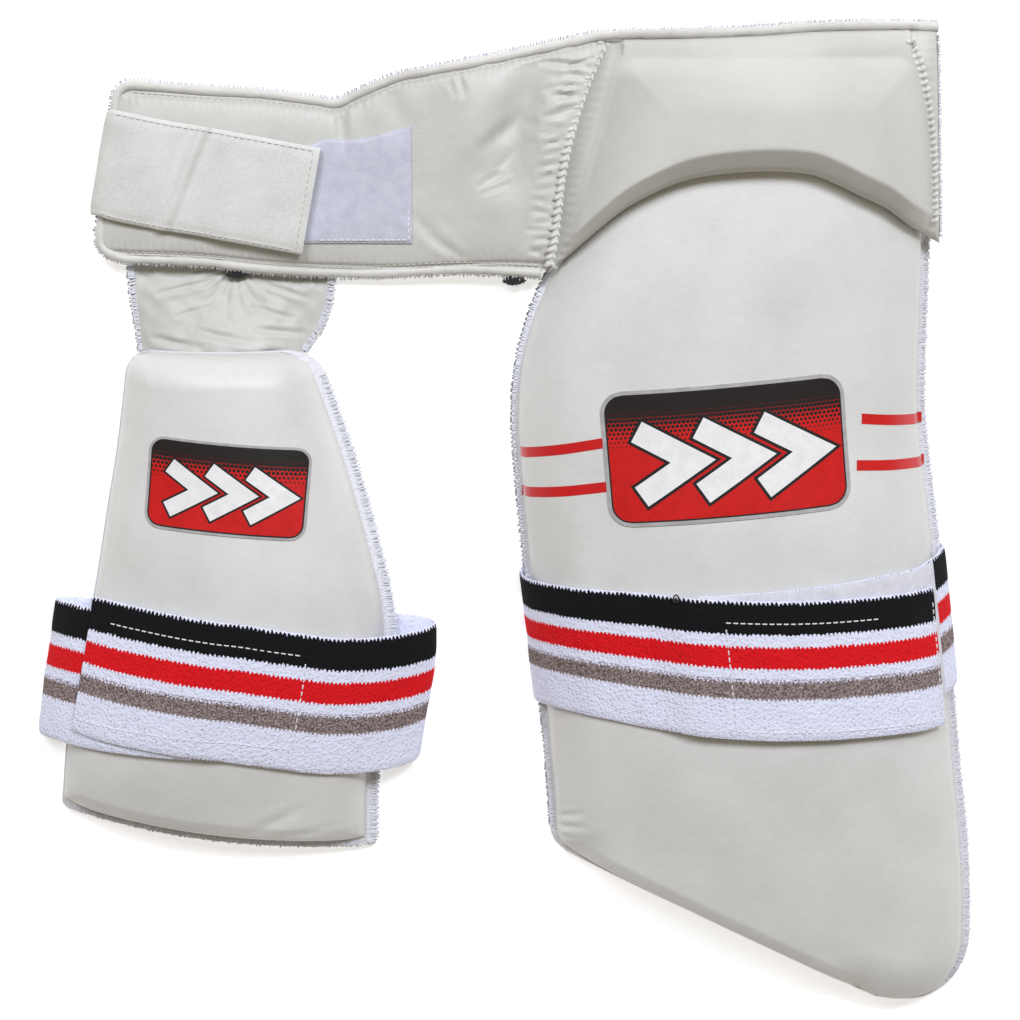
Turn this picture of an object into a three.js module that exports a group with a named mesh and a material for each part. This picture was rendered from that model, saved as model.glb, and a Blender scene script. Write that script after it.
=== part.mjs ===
import * as THREE from "three";

// Combined thigh guard laid on a surface, front up. Sizes in mm, Z up, Y towards the waist belt.

// Gap kept between neighbouring pieces
const CLEAR = 0.3;

// Cover sheets
const BACKING = 2.5;
const PAD_EDGE_SHARE = 0.35;
const PAD_GAP = 0.6;
const STRAP_BACK_LIFT = 2.1;
const LIFT_BLEND = 60;

// Main sizes
const OUTER_MID = 100;
const OUTER_WIDTH = 200;
const OUTER_FOOT = -244.4;
const OUTER_LENGTH = 458.4;
const HIP_OVERLAP = 96.3;
const HIP_LENGTH = 99.3;
const BELT_LENGTH = 226;
const BELT_WIDTH = 100;
const BELT_JOIN = 0.2925;
const INNER_WIDTH = 150;
const INNER_LENGTH = 233;
const INNER_SET = 53.5;
const INNER_DROP = 34.7;
const OUTER_STRAP_SHARE = 0.424;
const INNER_STRAP_SHARE = 0.365;
const OUTER_LEFT_FOOT_SHARE = 0.207;
const INNER_LEFT_FOOT_SHARE = 0.0815;

// Places that follow from them
const HIP_FOOT = OUTER_FOOT + OUTER_LENGTH - HIP_OVERLAP;
const BELT_LEFT = OUTER_MID - BELT_JOIN * OUTER_WIDTH - BELT_LENGTH;
const INNER_MID = BELT_LEFT + INNER_SET;
const INNER_TOP = HIP_FOOT - INNER_DROP;
const INNER_FOOT = INNER_TOP - INNER_LENGTH;
const OUTER_STRAP_AT = OUTER_FOOT + OUTER_STRAP_SHARE * OUTER_LENGTH;
const INNER_STRAP_AT = INNER_FOOT + INNER_STRAP_SHARE * INNER_LENGTH;

// Outer thigh pad
const OUTER_LEFT_FOOT = OUTER_FOOT + OUTER_LEFT_FOOT_SHARE * OUTER_LENGTH;
const OUTER_RISE = 26;
const OUTER_THICK = 16;
const OUTER_FOOT_BOW = -2.5;
const OUTER_FOOT_CORNER_LEFT = 7;
const OUTER_FOOT_CORNER_RIGHT = 52;
const OUTER_TOP_CORNER = 6;
const OUTER_FLANGE_LEFT = 3;
const OUTER_FLANGE_RIGHT = 4;
const OUTER_FLANGE_FOOT = 1;
const OUTER_FLANGE_TOP = 2;
const OUTER_BEVEL = 24;
const OUTER_LIFT_BAND = { from: OUTER_STRAP_AT - 42, to: OUTER_STRAP_AT + 52 };
const OUTER_ROWS = [
  { at: 0.0, left: -0.396, right: 0.57, rise: 0.45, thick: 0.8 },
  { at: 0.1, left: -0.398, right: 0.582, rise: 0.55, thick: 0.95 },
  { at: 0.2, left: -0.403, right: 0.572, rise: 0.7, thick: 1.0 },
  { at: 0.3, left: -0.418, right: 0.543, rise: 0.86, thick: 1.0 },
  { at: 0.4, left: -0.441, right: 0.516, rise: 0.96, thick: 1.0 },
  { at: 0.5, left: -0.468, right: 0.487, rise: 1.0, thick: 1.0 },
  { at: 0.6, left: -0.49, right: 0.455, rise: 1.0, thick: 1.0 },
  { at: 0.65, left: -0.496, right: 0.441, rise: 1.0, thick: 1.0 },
  { at: 0.7, left: -0.487, right: 0.4375, rise: 1.0, thick: 1.0 },
  { at: 0.75, left: -0.457, right: 0.438, rise: 1.0, thick: 1.0 },
  { at: 0.8, left: -0.408, right: 0.439, rise: 1.0, thick: 1.0 },
  { at: 0.9, left: -0.33, right: 0.43, rise: 1.0, thick: 0.86 },
  { at: 1.0, left: -0.27, right: 0.39, rise: 1.0, thick: 0.6 },
];

// Inner thigh pad
const INNER_LEFT_FOOT = INNER_FOOT + INNER_LEFT_FOOT_SHARE * INNER_LENGTH;
const INNER_RISE = 20;
const INNER_THICK = 15;
const INNER_FOOT_BOW = 4;
const INNER_FOOT_CORNER = 3;
const INNER_TOP_CORNER = 11;
const INNER_FLANGE_LEFT = 1;
const INNER_FLANGE_RIGHT = 5;
const INNER_FLANGE_FOOT = 4;
const INNER_FLANGE_TOP = 0.5;
const INNER_BEVEL = 15;
const INNER_LIFT_BAND = { from: INNER_STRAP_AT - 45, to: INNER_STRAP_AT + 37 };
const INNER_ROWS = [
  { at: 0.0, left: -0.537, right: 0.457, rise: 0.55, thick: 0.75 },
  { at: 0.1, left: -0.518, right: 0.459, rise: 0.66, thick: 0.9 },
  { at: 0.2, left: -0.502, right: 0.47, rise: 0.82, thick: 1.0 },
  { at: 0.3, left: -0.477, right: 0.497, rise: 0.95, thick: 1.0 },
  { at: 0.4, left: -0.443, right: 0.52, rise: 1.0, thick: 1.0 },
  { at: 0.5, left: -0.407, right: 0.513, rise: 1.0, thick: 1.0 },
  { at: 0.6, left: -0.377, right: 0.48, rise: 1.0, thick: 1.0 },
  { at: 0.7, left: -0.351, right: 0.44, rise: 0.98, thick: 1.0 },
  { at: 0.8, left: -0.322, right: 0.395, rise: 0.92, thick: 1.0 },
  { at: 0.9, left: -0.299, right: 0.343, rise: 0.86, thick: 1.0 },
  { at: 1.0, left: -0.279, right: 0.287, rise: 0.8, thick: 1.0 },
];

// Elastic straps
const STRAP_WIDTH = 63.5;
const STRAP_THICK = 1.8;
const STRAP_GAP = 0.8;
const PATCH_THICK = 1.0;
const OUTER_OVERLAP = STRAP_THICK + PATCH_THICK + 2 * CLEAR;
const INNER_OVERLAP = STRAP_THICK + CLEAR;
const OUTER_SHOULDER_LEFT = 0.1;
const OUTER_SHOULDER_RIGHT = 0.93;
const INNER_SHOULDER_LEFT = 0.16;
const INNER_SHOULDER_RIGHT = 0.86;
const OUTER_STRAP_START = 0.36;
const OUTER_STRAP_END = 5.06;
const OUTER_STRAP_PATCH_END = 1.12;
const OUTER_STRAP_STEP = { from: 4.2, to: 4.34 };
const INNER_STRAP_START = 0.38;
const INNER_STRAP_END = -4.24;
const INNER_STRAP_STEP = { from: 3.45, to: 3.6 };
const OUTER_REACH = {
  left: { tuck: 0, out: 4.5, fall: 26, lean: 0 },
  right: { tuck: 0, out: 5, fall: 18, lean: 0 },
};
const INNER_REACH = {
  left: { tuck: -6, out: 28, fall: 26, lean: 8 },
  right: { tuck: -6, out: 36, fall: 26, lean: 0 },
};
const OUTER_STRAP_COURSE = [
  { turn: 0.36, along: -4, width: 1 },
  { turn: 0.7, along: 0, width: 1 },
  { turn: 1.0, along: 5, width: 1 },
  { turn: 1.5, along: 10, width: 1 },
  { turn: 2.0, along: 10.5, width: 1 },
  { turn: 3.0, along: 2, width: 0.98 },
  { turn: 3.5, along: 0, width: 0.92 },
  { turn: 4.0, along: -0.5, width: 0.92 },
  { turn: 4.2, along: -2.5, width: 0.98 },
  { turn: 4.45, along: -4.8, width: 1 },
  { turn: 4.65, along: -5.5, width: 1 },
  { turn: 4.85, along: -5, width: 1 },
  { turn: 5.1, along: -3.8, width: 1 },
];
const INNER_STRAP_COURSE = [
  { turn: -4.3, along: 8, width: 0.97 },
  { turn: -4.0, along: 4.5, width: 1 },
  { turn: -3.75, along: 1, width: 1 },
  { turn: -3.5, along: -2.5, width: 1 },
  { turn: -3.25, along: -7, width: 1 },
  { turn: -3.0, along: -11.5, width: 1 },
  { turn: -2.6, along: -12, width: 1 },
  { turn: -2.0, along: -7, width: 1 },
  { turn: -1.0, along: 1, width: 1 },
  { turn: -0.5, along: 1.5, width: 1 },
  { turn: 0.0, along: -0.5, width: 1 },
  { turn: 0.4, along: -2.5, width: 1 },
];

// Hip pad
const HIP_GAP = 1.2;
const HIP_THICK = 17;
const HIP_EDGE = 5;
const HIP_BEVEL = 12;
const HIP_SIDE_BEVEL = 11;
const HIP_TOP_BEVEL = 18;
const HIP_ARCH_SLANT = 0.9;
const HIP_ARCH = [
  { across: 0.0, up: 0.0 },
  { across: 0.04, up: 0.082 },
  { across: 0.09, up: 0.178 },
  { across: 0.155, up: 0.283 },
  { across: 0.22, up: 0.354 },
  { across: 0.3, up: 0.417 },
  { across: 0.38, up: 0.448 },
  { across: 0.51, up: 0.465 },
  { across: 0.63, up: 0.452 },
  { across: 0.7, up: 0.41 },
  { across: 0.77, up: 0.355 },
  { across: 0.84, up: 0.3 },
  { across: 0.91, up: 0.22 },
  { across: 1.0, up: 0.135 },
];
const HIP_CREST = [
  { across: 0.0, up: 1.017 },
  { across: 0.2, up: 1.013 },
  { across: 0.45, up: 1.028 },
  { across: 0.6, up: 1.052 },
  { across: 0.9, up: 1.067 },
  { across: 1.0, up: 1.064 },
];
const HIP_SIDES = [
  { at: 0.0, left: -0.416, right: 0.457 },
  { at: 0.15, left: -0.4, right: 0.455 },
  { at: 0.46, left: -0.381, right: 0.4495 },
  { at: 0.74, left: -0.3465, right: 0.4445 },
  { at: 1.02, left: -0.292, right: 0.439 },
];
const HIP_LEVELS = [0, 0.015, 0.05, 0.1, 0.17, 0.28, 0.42, 0.56, 0.7, 0.82, 0.92, 1];
const HIP_STEPS = [
  { inset: 0.0, height: 0.0 },
  { inset: 0.2, height: 0.42 },
  { inset: 0.45, height: 0.66 },
  { inset: 0.8, height: 0.93 },
  { inset: 1.2, height: 1.0 },
];

// Waist belt
const BELT_THICK = 7;
const BELT_RISE = 10;
const BELT_EDGE = 2.6;
const BELT_END_BEVEL = 16;
const BELT_END_LEAN = 11;
const BELT_CORNER_TOP = 3;
const BELT_CORNER_FOOT = 8;
const PIPING_RADIUS = 2.1;
const PIPING_GAP = 1.0;
const PIPING_LIFT = 0.6;
const PIPING_STATIONS = 22;
const HIP_PIPING_STATIONS = 14;
const TOP_PIPING = { from: 0.045, to: 0.985 };
const FOOT_PIPING = { from: 0.02, to: 0.96 };
const BELT_ROWS = [
  { at: 0.0, foot: 0.081, top: 0.809, height: 0.82 },
  { at: 0.2, foot: 0.065, top: 0.761, height: 0.69 },
  { at: 0.33, foot: 0.035, top: 0.733, height: 0.54 },
  { at: 0.44, foot: 0.019, top: 0.719, height: 0.39 },
  { at: 0.48, foot: 0.016, top: 0.712, height: 0.35 },
  { at: 0.52, foot: 0.013, top: 0.747, height: 0.39 },
  { at: 0.59, foot: 0.01, top: 0.811, height: 0.52 },
  { at: 0.66, foot: 0.008, top: 0.857, height: 0.63 },
  { at: 0.8, foot: 0.009, top: 0.915, height: 0.76 },
  { at: 0.92, foot: 0.011, top: 0.969, height: 0.84 },
  { at: 1.0, foot: 0.015, top: 1.01, height: 0.94 },
];

// Fastening strap, loop patch and hanging tab
const WAIST_STRAP_WIDTH = 47;
const WAIST_STRAP_THICK = 3;
const WAIST_STRAP_LEAN = 9;
const WAIST_TURN = BELT_LEFT + 2.6;
const WAIST_TURN_REACH = 3.4;
const WAIST_TURN_HEIGHTS = { low: 4.6, middle: 9.5, high: 14.4 };
const WAIST_BACK_HEIGHT = 2;
const WAIST_BACK_STATIONS = [56.5, 39.5, 24.5, 12.5];
const WAIST_FRONT_STATIONS = [11.5, 15.5, 19.5, 24.5, 32.5, 42.5, 54.5, 60.5, 66.5, 74.5, 84.5, 96.5];
const WAIST_STRAP_END = BELT_LEFT + WAIST_FRONT_STATIONS.at(-1);
const WAIST_STRAP_COURSE = [
  { at: 0.0, along: 49.3 },
  { at: 0.3, along: 43.5 },
  { at: 0.5, along: 40.5 },
  { at: 1.0, along: 31.8 },
];
const LOOP_LEFT = BELT_LEFT + 72.5;
const LOOP_RIGHT = BELT_LEFT + 141;
const LOOP_FOOT = HIP_FOOT + 13.3;
const LOOP_ROWS = [
  { at: 0.0, top: 63.8 },
  { at: 0.53, top: 58.8 },
  { at: 1.0, top: 64.8 },
];
const LOOP_THICK = 1.2;
const LOOP_CLIMB = { from: LOOP_LEFT - 20, to: LOOP_LEFT - 8 };
const TAB_THICK = 2.5;
const TAB_WIDTH = 92;
const TAB_TOP = HIP_FOOT + 8.3;
const TAB_FOOT = INNER_TOP - 13;
const TAB_BEND = { from: TAB_FOOT + 10, to: TAB_TOP - 14 };
const TAB_HANG = 2.4;
const TAB_LOWEST = 0.1;
const TAB_PAD_GAP = 1.2;
const TAB_BELT_GAP = 1.8;
const TAB_ROWS = [
  { at: 0.0, left: -0.348, right: 0.386 },
  { at: 0.2, left: -0.393, right: 0.416 },
  { at: 0.42, left: -0.409, right: 0.504 },
  { at: 0.66, left: -0.428, right: 0.552 },
  { at: 1.0, left: -0.44, right: 0.559 },
];

// Badges
const BADGE_THICK = 0.6;
const BADGE_GAP = 0.5;
const OUTER_BADGE = {
  x: OUTER_MID - 5,
  y: OUTER_FOOT + 286.4,
  width: 107,
  height: 60,
  corner: 10,
  slant: 0.09,
};
const INNER_BADGE = {
  x: INNER_MID + 5.5,
  y: INNER_FOOT + 174,
  width: 72,
  height: 41,
  corner: 7,
  slant: -0.09,
};

// Facets of each piece, and how far they bunch towards its edges
const EDGE_STEPS = 48;
const EDGE_BUNCH = 0.8;
const RING_PACE = { front: 14, turn: 7, back: 3 };
const RING_STEP = 0.004;
const SHOULDER_STEP = 0.01;
const FRONT_BUNCH = 0.5;
const LEAST_STATION = 0.01;
const PIPING_SIDES = 4;
const STRAP_LINES = 2;
const WAIST_GRID = { across: 36, along: 4 };
const GRIDS = {
  outerBacking: { across: 12, along: 20 },
  outerPad: { across: 18, along: 22 },
  innerBacking: { across: 12, along: 16 },
  innerPad: { across: 16, along: 18 },
  hip: { across: 18, bunchAcross: 0.6 },
  belt: { across: 30, along: 7, bunchAcross: 0.3, bunchAlong: 0.7 },
  loop: { across: 10, along: 5 },
  tab: { across: 12, along: 8 },
  badge: { across: 10, along: 7, bunchAcross: 0.3, bunchAlong: 0.5 },
  topPiping: 46,
  footPiping: 28,
};
const PAD_BUNCH = { across: 0.75, along: 0.6 };
const BACKING_BUNCH = { across: 0.3, along: 0.6 };

const lerp = THREE.MathUtils.lerp;
const clamp = THREE.MathUtils.clamp;
const blend = (x, from, to) => THREE.MathUtils.smoothstep(x, from, to);

const NO_FLANGE = { left: 0, right: 0, foot: 0, top: 0 };

// Smooth reading of one column of a table at a value of its key column
function read(rows, key, value, column) {
  const last = rows.length - 1;
  if (value <= rows[0][key]) return rows[0][column];
  if (value >= rows[last][key]) return rows[last][column];
  const i = rows.findIndex((row, n) => n < last && value < rows[n + 1][key]);
  const slope = (n) => {
    const a = rows[Math.max(n - 1, 0)];
    const b = rows[Math.min(n + 1, last)];
    return (b[column] - a[column]) / (b[key] - a[key]);
  };
  const [a, b] = [rows[i], rows[i + 1]];
  const span = b[key] - a[key];
  const t = (value - a[key]) / span;
  const s = 1 - t;
  return (
    a[column] * (1 + 2 * t) * s * s + b[column] * (3 - 2 * t) * t * t +
    slope(i) * span * t * s * s - slope(i + 1) * span * s * t * t
  );
}

// Inset of a rounded corner at a distance from the edge it ends on
function cornerInset(radius, distance) {
  const rest = clamp(1 - distance / radius, 0, 1);
  return radius * (1 - Math.sqrt(1 - rest * rest));
}

function distanceToLine(x, y, line) {
  let best = Infinity;
  for (let i = 0; i < line.length; i += 1) {
    const [ax, ay] = line[i];
    const [bx, by] = line[(i + 1) % line.length];
    const [dx, dy] = [bx - ax, by - ay];
    const t = clamp(((x - ax) * dx + (y - ay) * dy) / (dx * dx + dy * dy + 1e-9), 0, 1);
    best = Math.min(best, Math.hypot(x - ax - t * dx, y - ay - t * dy));
  }
  return best;
}

// Even steps bunched towards both ends
const bunched = (t, amount) => lerp(t, 0.5 - 0.5 * Math.cos(Math.PI * t), amount);

function makeGeometry(positions, faces) {
  const geometry = new THREE.BufferGeometry();
  geometry.setAttribute("position", new THREE.Float32BufferAttribute(positions, 3));
  geometry.setIndex(faces);
  geometry.computeVertexNormals();
  return geometry;
}

// Closed sheet between two grids of points given by one function
function layered(across, along, place) {
  const positions = [];
  const faces = [];
  const row = across + 1;
  const layer = row * (along + 1);
  for (const side of [1, -1]) {
    for (let j = 0; j <= along; j += 1) {
      for (let i = 0; i <= across; i += 1) positions.push(...place(i / across, j / along, side));
    }
  }
  const quad = (a, b, c, d) => faces.push(a, b, c, a, c, d);
  for (let j = 0; j < along; j += 1) {
    for (let i = 0; i < across; i += 1) {
      const a = j * row + i;
      quad(a, a + 1, a + row + 1, a + row);
      quad(layer + a, layer + a + row, layer + a + row + 1, layer + a + 1);
    }
  }
  for (let i = 0; i < across; i += 1) {
    const far = along * row + i;
    quad(layer + i, layer + i + 1, i + 1, i);
    quad(layer + far + 1, layer + far, far, far + 1);
  }
  for (let j = 0; j < along; j += 1) {
    const left = j * row;
    const right = left + across;
    quad(layer + left + row, layer + left, left, left + row);
    quad(layer + right, layer + right + row, right + row, right);
  }
  return makeGeometry(positions, faces);
}

// One moulded thigh panel: its outline, its arched underside and its domed top
class Panel {
  constructor(spec) {
    Object.assign(this, spec);
  }

  at(y) {
    return clamp((y - this.foot) / this.length, 0, 1);
  }

  left(y) {
    return this.mid + this.width * read(this.rows, "at", this.at(y), "left");
  }

  right(y) {
    return this.mid + this.width * read(this.rows, "at", this.at(y), "right");
  }

  lift(y) {
    const { from, to } = this.liftBand;
    return STRAP_BACK_LIFT * blend(y, from - LIFT_BLEND, from) * (1 - blend(y, to, to + LIFT_BLEND));
  }

  under(x, y) {
    const l = this.left(y);
    const r = this.right(y);
    const q = clamp((2 * x - l - r) / (r - l), -1, 1);
    return this.lift(y) + this.rise * read(this.rows, "at", this.at(y), "rise") * (1 - q * q);
  }

  // Point of the outline grid, set in from the photographed outline by the flange widths
  point(u, v, flange) {
    const top = this.foot + this.length - flange.top;
    const leftFoot = this.leftFoot + flange.foot;
    const rightFoot = this.foot + flange.foot;
    const leftY = lerp(leftFoot, top, v);
    const rightY = lerp(rightFoot, top, v);
    const span = this.right(rightY) - this.left(leftY);
    const inLeft =
      cornerInset(this.footCornerLeft, leftY - leftFoot) + cornerInset(this.topCorner, top - leftY);
    const inRight =
      cornerInset(this.footCornerRight, rightY - rightFoot) + cornerInset(this.topCorner, top - rightY);
    const f = lerp(inLeft / span, 1 - inRight / span, u);
    const bow = this.footBow * 4 * f * (1 - f) * (1 - v) * (1 - v);
    const y = lerp(leftY, rightY, f) - bow;
    return [lerp(this.left(y) + flange.left, this.right(y) - flange.right, f), y];
  }

  edgeLine(flange) {
    const shares = Array.from({ length: EDGE_STEPS }, (_, i) => i / EDGE_STEPS);
    return [
      ...shares.map((t) => this.point(t, 0, flange)),
      ...shares.map((t) => this.point(1, bunched(t, EDGE_BUNCH), flange)),
      ...shares.map((t) => this.point(1 - t, 1, flange)),
      ...shares.map((t) => this.point(0, bunched(1 - t, EDGE_BUNCH), flange)),
    ];
  }

  top(x, y) {
    const thick = this.thick * read(this.rows, "at", this.at(y), "thick");
    const inside = x > this.left(y) + this.flange.left && x < this.right(y) - this.flange.right;
    const depth = inside ? distanceToLine(x, y, this.line) : 0;
    const rest = 1 - clamp(depth / this.bevel, 0, 1);
    const share = PAD_EDGE_SHARE + (1 - PAD_EDGE_SHARE) * (1 - rest * rest);
    return this.under(x, y) + BACKING + PAD_GAP + thick * share;
  }

  padGeometry({ across, along }) {
    return layered(across, along, (u, v, side) => {
      const [x, y] = this.point(bunched(u, PAD_BUNCH.across), bunched(v, PAD_BUNCH.along), this.flange);
      return [x, y, side > 0 ? this.top(x, y) : this.under(x, y) + BACKING + PAD_GAP];
    });
  }

  backingGeometry({ across, along }) {
    const bunch = BACKING_BUNCH;
    return layered(across, along, (u, v, side) => {
      const [x, y] = this.point(bunched(u, bunch.across), bunched(v, bunch.along), NO_FLANGE);
      return [x, y, this.under(x, y) + (side > 0 ? BACKING : 0)];
    });
  }
}

const outer = new Panel({
  rows: OUTER_ROWS,
  mid: OUTER_MID,
  width: OUTER_WIDTH,
  foot: OUTER_FOOT,
  leftFoot: OUTER_LEFT_FOOT,
  length: OUTER_LENGTH,
  rise: OUTER_RISE,
  thick: OUTER_THICK,
  bevel: OUTER_BEVEL,
  footBow: OUTER_FOOT_BOW,
  footCornerLeft: OUTER_FOOT_CORNER_LEFT,
  footCornerRight: OUTER_FOOT_CORNER_RIGHT,
  topCorner: OUTER_TOP_CORNER,
  liftBand: OUTER_LIFT_BAND,
  flange: {
    left: OUTER_FLANGE_LEFT,
    right: OUTER_FLANGE_RIGHT,
    foot: OUTER_FLANGE_FOOT,
    top: OUTER_FLANGE_TOP,
  },
});
outer.line = outer.edgeLine(outer.flange);

const inner = new Panel({
  rows: INNER_ROWS,
  mid: INNER_MID,
  width: INNER_WIDTH,
  foot: INNER_FOOT,
  leftFoot: INNER_LEFT_FOOT,
  length: INNER_LENGTH,
  rise: INNER_RISE,
  thick: INNER_THICK,
  bevel: INNER_BEVEL,
  footBow: INNER_FOOT_BOW,
  footCornerLeft: INNER_FOOT_CORNER,
  footCornerRight: INNER_FOOT_CORNER,
  topCorner: INNER_TOP_CORNER,
  liftBand: INNER_LIFT_BAND,
  flange: {
    left: INNER_FLANGE_LEFT,
    right: INNER_FLANGE_RIGHT,
    foot: INNER_FLANGE_FOOT,
    top: INNER_FLANGE_TOP,
  },
});
inner.line = inner.edgeLine(inner.flange);

// Course of an elastic strap round its panel: 0 to 1 over the front, 1 to 2 the right turn,
// 2 to 3 the back from right to left, 3 to 4 the left turn
class Ring {
  constructor(panel, middle, shoulders, reach) {
    Object.assign(this, { panel, middle, shoulders, reach });
  }

  front(f, y) {
    const x = lerp(this.panel.left(y), this.panel.right(y), f);
    return new THREE.Vector3(x, y, this.panel.top(x, y) + STRAP_GAP + STRAP_THICK / 2);
  }

  turn(side, t, y, v) {
    const f = side > 0 ? this.shoulders.right : this.shoulders.left;
    const edge = side > 0 ? this.panel.right(y) : this.panel.left(y);
    const start = this.front(f, y);
    const slope = start.clone().sub(this.front(f - side * SHOULDER_STEP, y)).setY(0).normalize();
    const reach = side > 0 ? this.reach.right : this.reach.left;
    const end = new THREE.Vector3(edge - side * reach.tuck, y, STRAP_THICK / 2);
    const out = new THREE.Vector3(edge + side * (reach.out + reach.lean * v), y, STRAP_THICK / 2);
    const bend = start.clone().addScaledVector(slope, reach.fall);
    return new THREE.CubicBezierCurve3(start, bend, out, end).getPoint(t);
  }

  base(turn, y, v) {
    const s = THREE.MathUtils.euclideanModulo(turn, 4);
    const { left, right } = this.shoulders;
    if (s < 1) return this.front(lerp(left, right, s), y);
    if (s < 2) return this.turn(1, s - 1, y, v);
    if (s >= 3) return this.turn(-1, 4 - s, y, v);
    const from = this.turn(1, 1, y, v);
    return from.lerp(this.turn(-1, 1, y, v), s - 2);
  }

  // Point of the middle surface, pushed outwards where one layer lies over another
  point(turn, y, layer, v) {
    const here = this.base(turn, y, v);
    const before = this.base(turn - RING_STEP, y, v);
    const tangent = this.base(turn + RING_STEP, y, v).sub(before).setY(0).normalize();
    return here.addScaledVector(new THREE.Vector3(-tangent.z, 0, tangent.x), layer);
  }

  // Turn values between two ends, closer together over the shoulders and the turns
  stations(from, to) {
    const low = Math.min(from, to);
    const high = Math.max(from, to);
    const list = [low, high];
    const pace = [RING_PACE.front, RING_PACE.turn, RING_PACE.back, RING_PACE.turn];
    for (let whole = Math.floor(low); whole < high; whole += 1) {
      const count = pace[THREE.MathUtils.euclideanModulo(whole, 4)];
      for (let i = 0; i < count; i += 1) {
        const share = count === RING_PACE.front ? bunched(i / count, FRONT_BUNCH) : i / count;
        const value = whole + share;
        if (value > low + LEAST_STATION && value < high - LEAST_STATION) list.push(value);
      }
    }
    return list.sort((a, b) => (a - b) * Math.sign(to - from));
  }

  // Ribbon from one turn value to another, its outer face on the side away from the panel
  ribbon({ from, to, thick, course, layer }) {
    const facing = to > from ? 1 : -1;
    const stations = this.stations(from, to);
    return layered(stations.length - 1, STRAP_LINES, (u, v, side) => {
      const turn = stations[Math.round(u * (stations.length - 1))];
      const width = STRAP_WIDTH * read(course, "turn", turn, "width");
      const y = this.middle + read(course, "turn", turn, "along") + width * (v - 0.5);
      const p = this.point(turn, y, layer(turn) + side * facing * (thick / 2), v - 0.5);
      return [p.x, p.y, p.z];
    });
  }
}

const outerRing = new Ring(
  outer,
  OUTER_STRAP_AT,
  { left: OUTER_SHOULDER_LEFT, right: OUTER_SHOULDER_RIGHT },
  OUTER_REACH,
);
const innerRing = new Ring(
  inner,
  INNER_STRAP_AT,
  { left: INNER_SHOULDER_LEFT, right: INNER_SHOULDER_RIGHT },
  INNER_REACH,
);

// Hip pad on the upper end of the outer panel
const hipAt = (y) => (y - HIP_FOOT) / HIP_LENGTH;
const hipLeft = (y) => OUTER_MID + OUTER_WIDTH * read(HIP_SIDES, "at", hipAt(y), "left");
const hipRight = (y) => OUTER_MID + OUTER_WIDTH * read(HIP_SIDES, "at", hipAt(y), "right");
const hipFootY = (u) => HIP_FOOT + HIP_LENGTH * read(HIP_ARCH, "across", u, "up");
const hipTopY = (u) => HIP_FOOT + HIP_LENGTH * read(HIP_CREST, "across", u, "up");

function hipPoint(u, v) {
  const y = lerp(hipFootY(u), hipTopY(u), v);
  return [lerp(hipLeft(y) + CLEAR, hipRight(y), u), y];
}

function hipTop(x, y, u, v) {
  const above = (y - hipFootY(u)) * HIP_ARCH_SLANT;
  const below = hipTopY(u) - y;
  const side = Math.min(x - hipLeft(y), hipRight(y) - x);
  const foot = read(HIP_STEPS, "inset", above / HIP_BEVEL, "height");
  const flank = 1 - (1 - clamp(side / HIP_SIDE_BEVEL, 0, 1)) ** 2;
  const crest = 1 - (1 - clamp(below / HIP_TOP_BEVEL, 0, 1)) ** 2;
  const share = foot * flank * crest;
  return outer.top(x, y) + HIP_GAP + HIP_EDGE + (HIP_THICK - HIP_EDGE) * share;
}

function hipGeometry() {
  const { across, bunchAcross } = GRIDS.hip;
  return layered(across, HIP_LEVELS.length - 1, (s, t, side) => {
    const u = bunched(s, bunchAcross);
    const v = HIP_LEVELS[Math.round(t * (HIP_LEVELS.length - 1))];
    const [x, y] = hipPoint(u, v);
    return [x, y, side > 0 ? hipTop(x, y, u, v) : outer.top(x, y) + HIP_GAP];
  });
}

// Waist belt from its left end to the hip pad's seam
const beltRow = (a, column) => read(BELT_ROWS, "at", clamp(a, 0, 1), column);
const beltFootY = (a) => HIP_FOOT + BELT_WIDTH * beltRow(a, "foot");
const beltTopY = (a) => HIP_FOOT + BELT_WIDTH * beltRow(a, "top");

function beltLeft(y) {
  const foot = beltFootY(0);
  const top = beltTopY(0);
  const inset = cornerInset(BELT_CORNER_FOOT, y - foot) + cornerInset(BELT_CORNER_TOP, top - y);
  return BELT_LEFT + (BELT_END_LEAN * (y - foot)) / (top - foot) + inset;
}

function beltPoint(u, v) {
  const y = lerp(beltFootY(u), beltTopY(u), v);
  return [lerp(beltLeft(y), hipLeft(y) - CLEAR, u), y];
}

function beltUnder(x) {
  return BELT_RISE * beltRow((x - BELT_LEFT) / BELT_LENGTH, "height");
}

function beltTop(x, y) {
  const a = (x - BELT_LEFT) / BELT_LENGTH;
  const foot = beltFootY(a);
  const top = beltTopY(a);
  const q = clamp((2 * y - foot - top) / (top - foot), -1, 1);
  const end = 1 - clamp((x - beltLeft(y)) / BELT_END_BEVEL, 0, 1);
  const crown = Math.sqrt(Math.max(1 - q ** 4, 0)) * (1 - end * end);
  return beltUnder(x) + BELT_EDGE + (BELT_THICK - BELT_EDGE) * crown;
}

function beltGeometry() {
  const { across, along, bunchAcross, bunchAlong } = GRIDS.belt;
  return layered(across, along, (s, t, side) => {
    const [x, y] = beltPoint(bunched(s, bunchAcross), bunched(t, bunchAlong));
    return [x, y, side > 0 ? beltTop(x, y) : beltUnder(x)];
  });
}

function pipingGeometry(points, steps) {
  const path = new THREE.CatmullRomCurve3(points, false, "centripetal");
  const shape = new THREE.Shape().absarc(0, 0, PIPING_RADIUS, 0, 2 * Math.PI);
  return new THREE.ExtrudeGeometry(shape, { steps, curveSegments: PIPING_SIDES, extrudePath: path });
}

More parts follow.
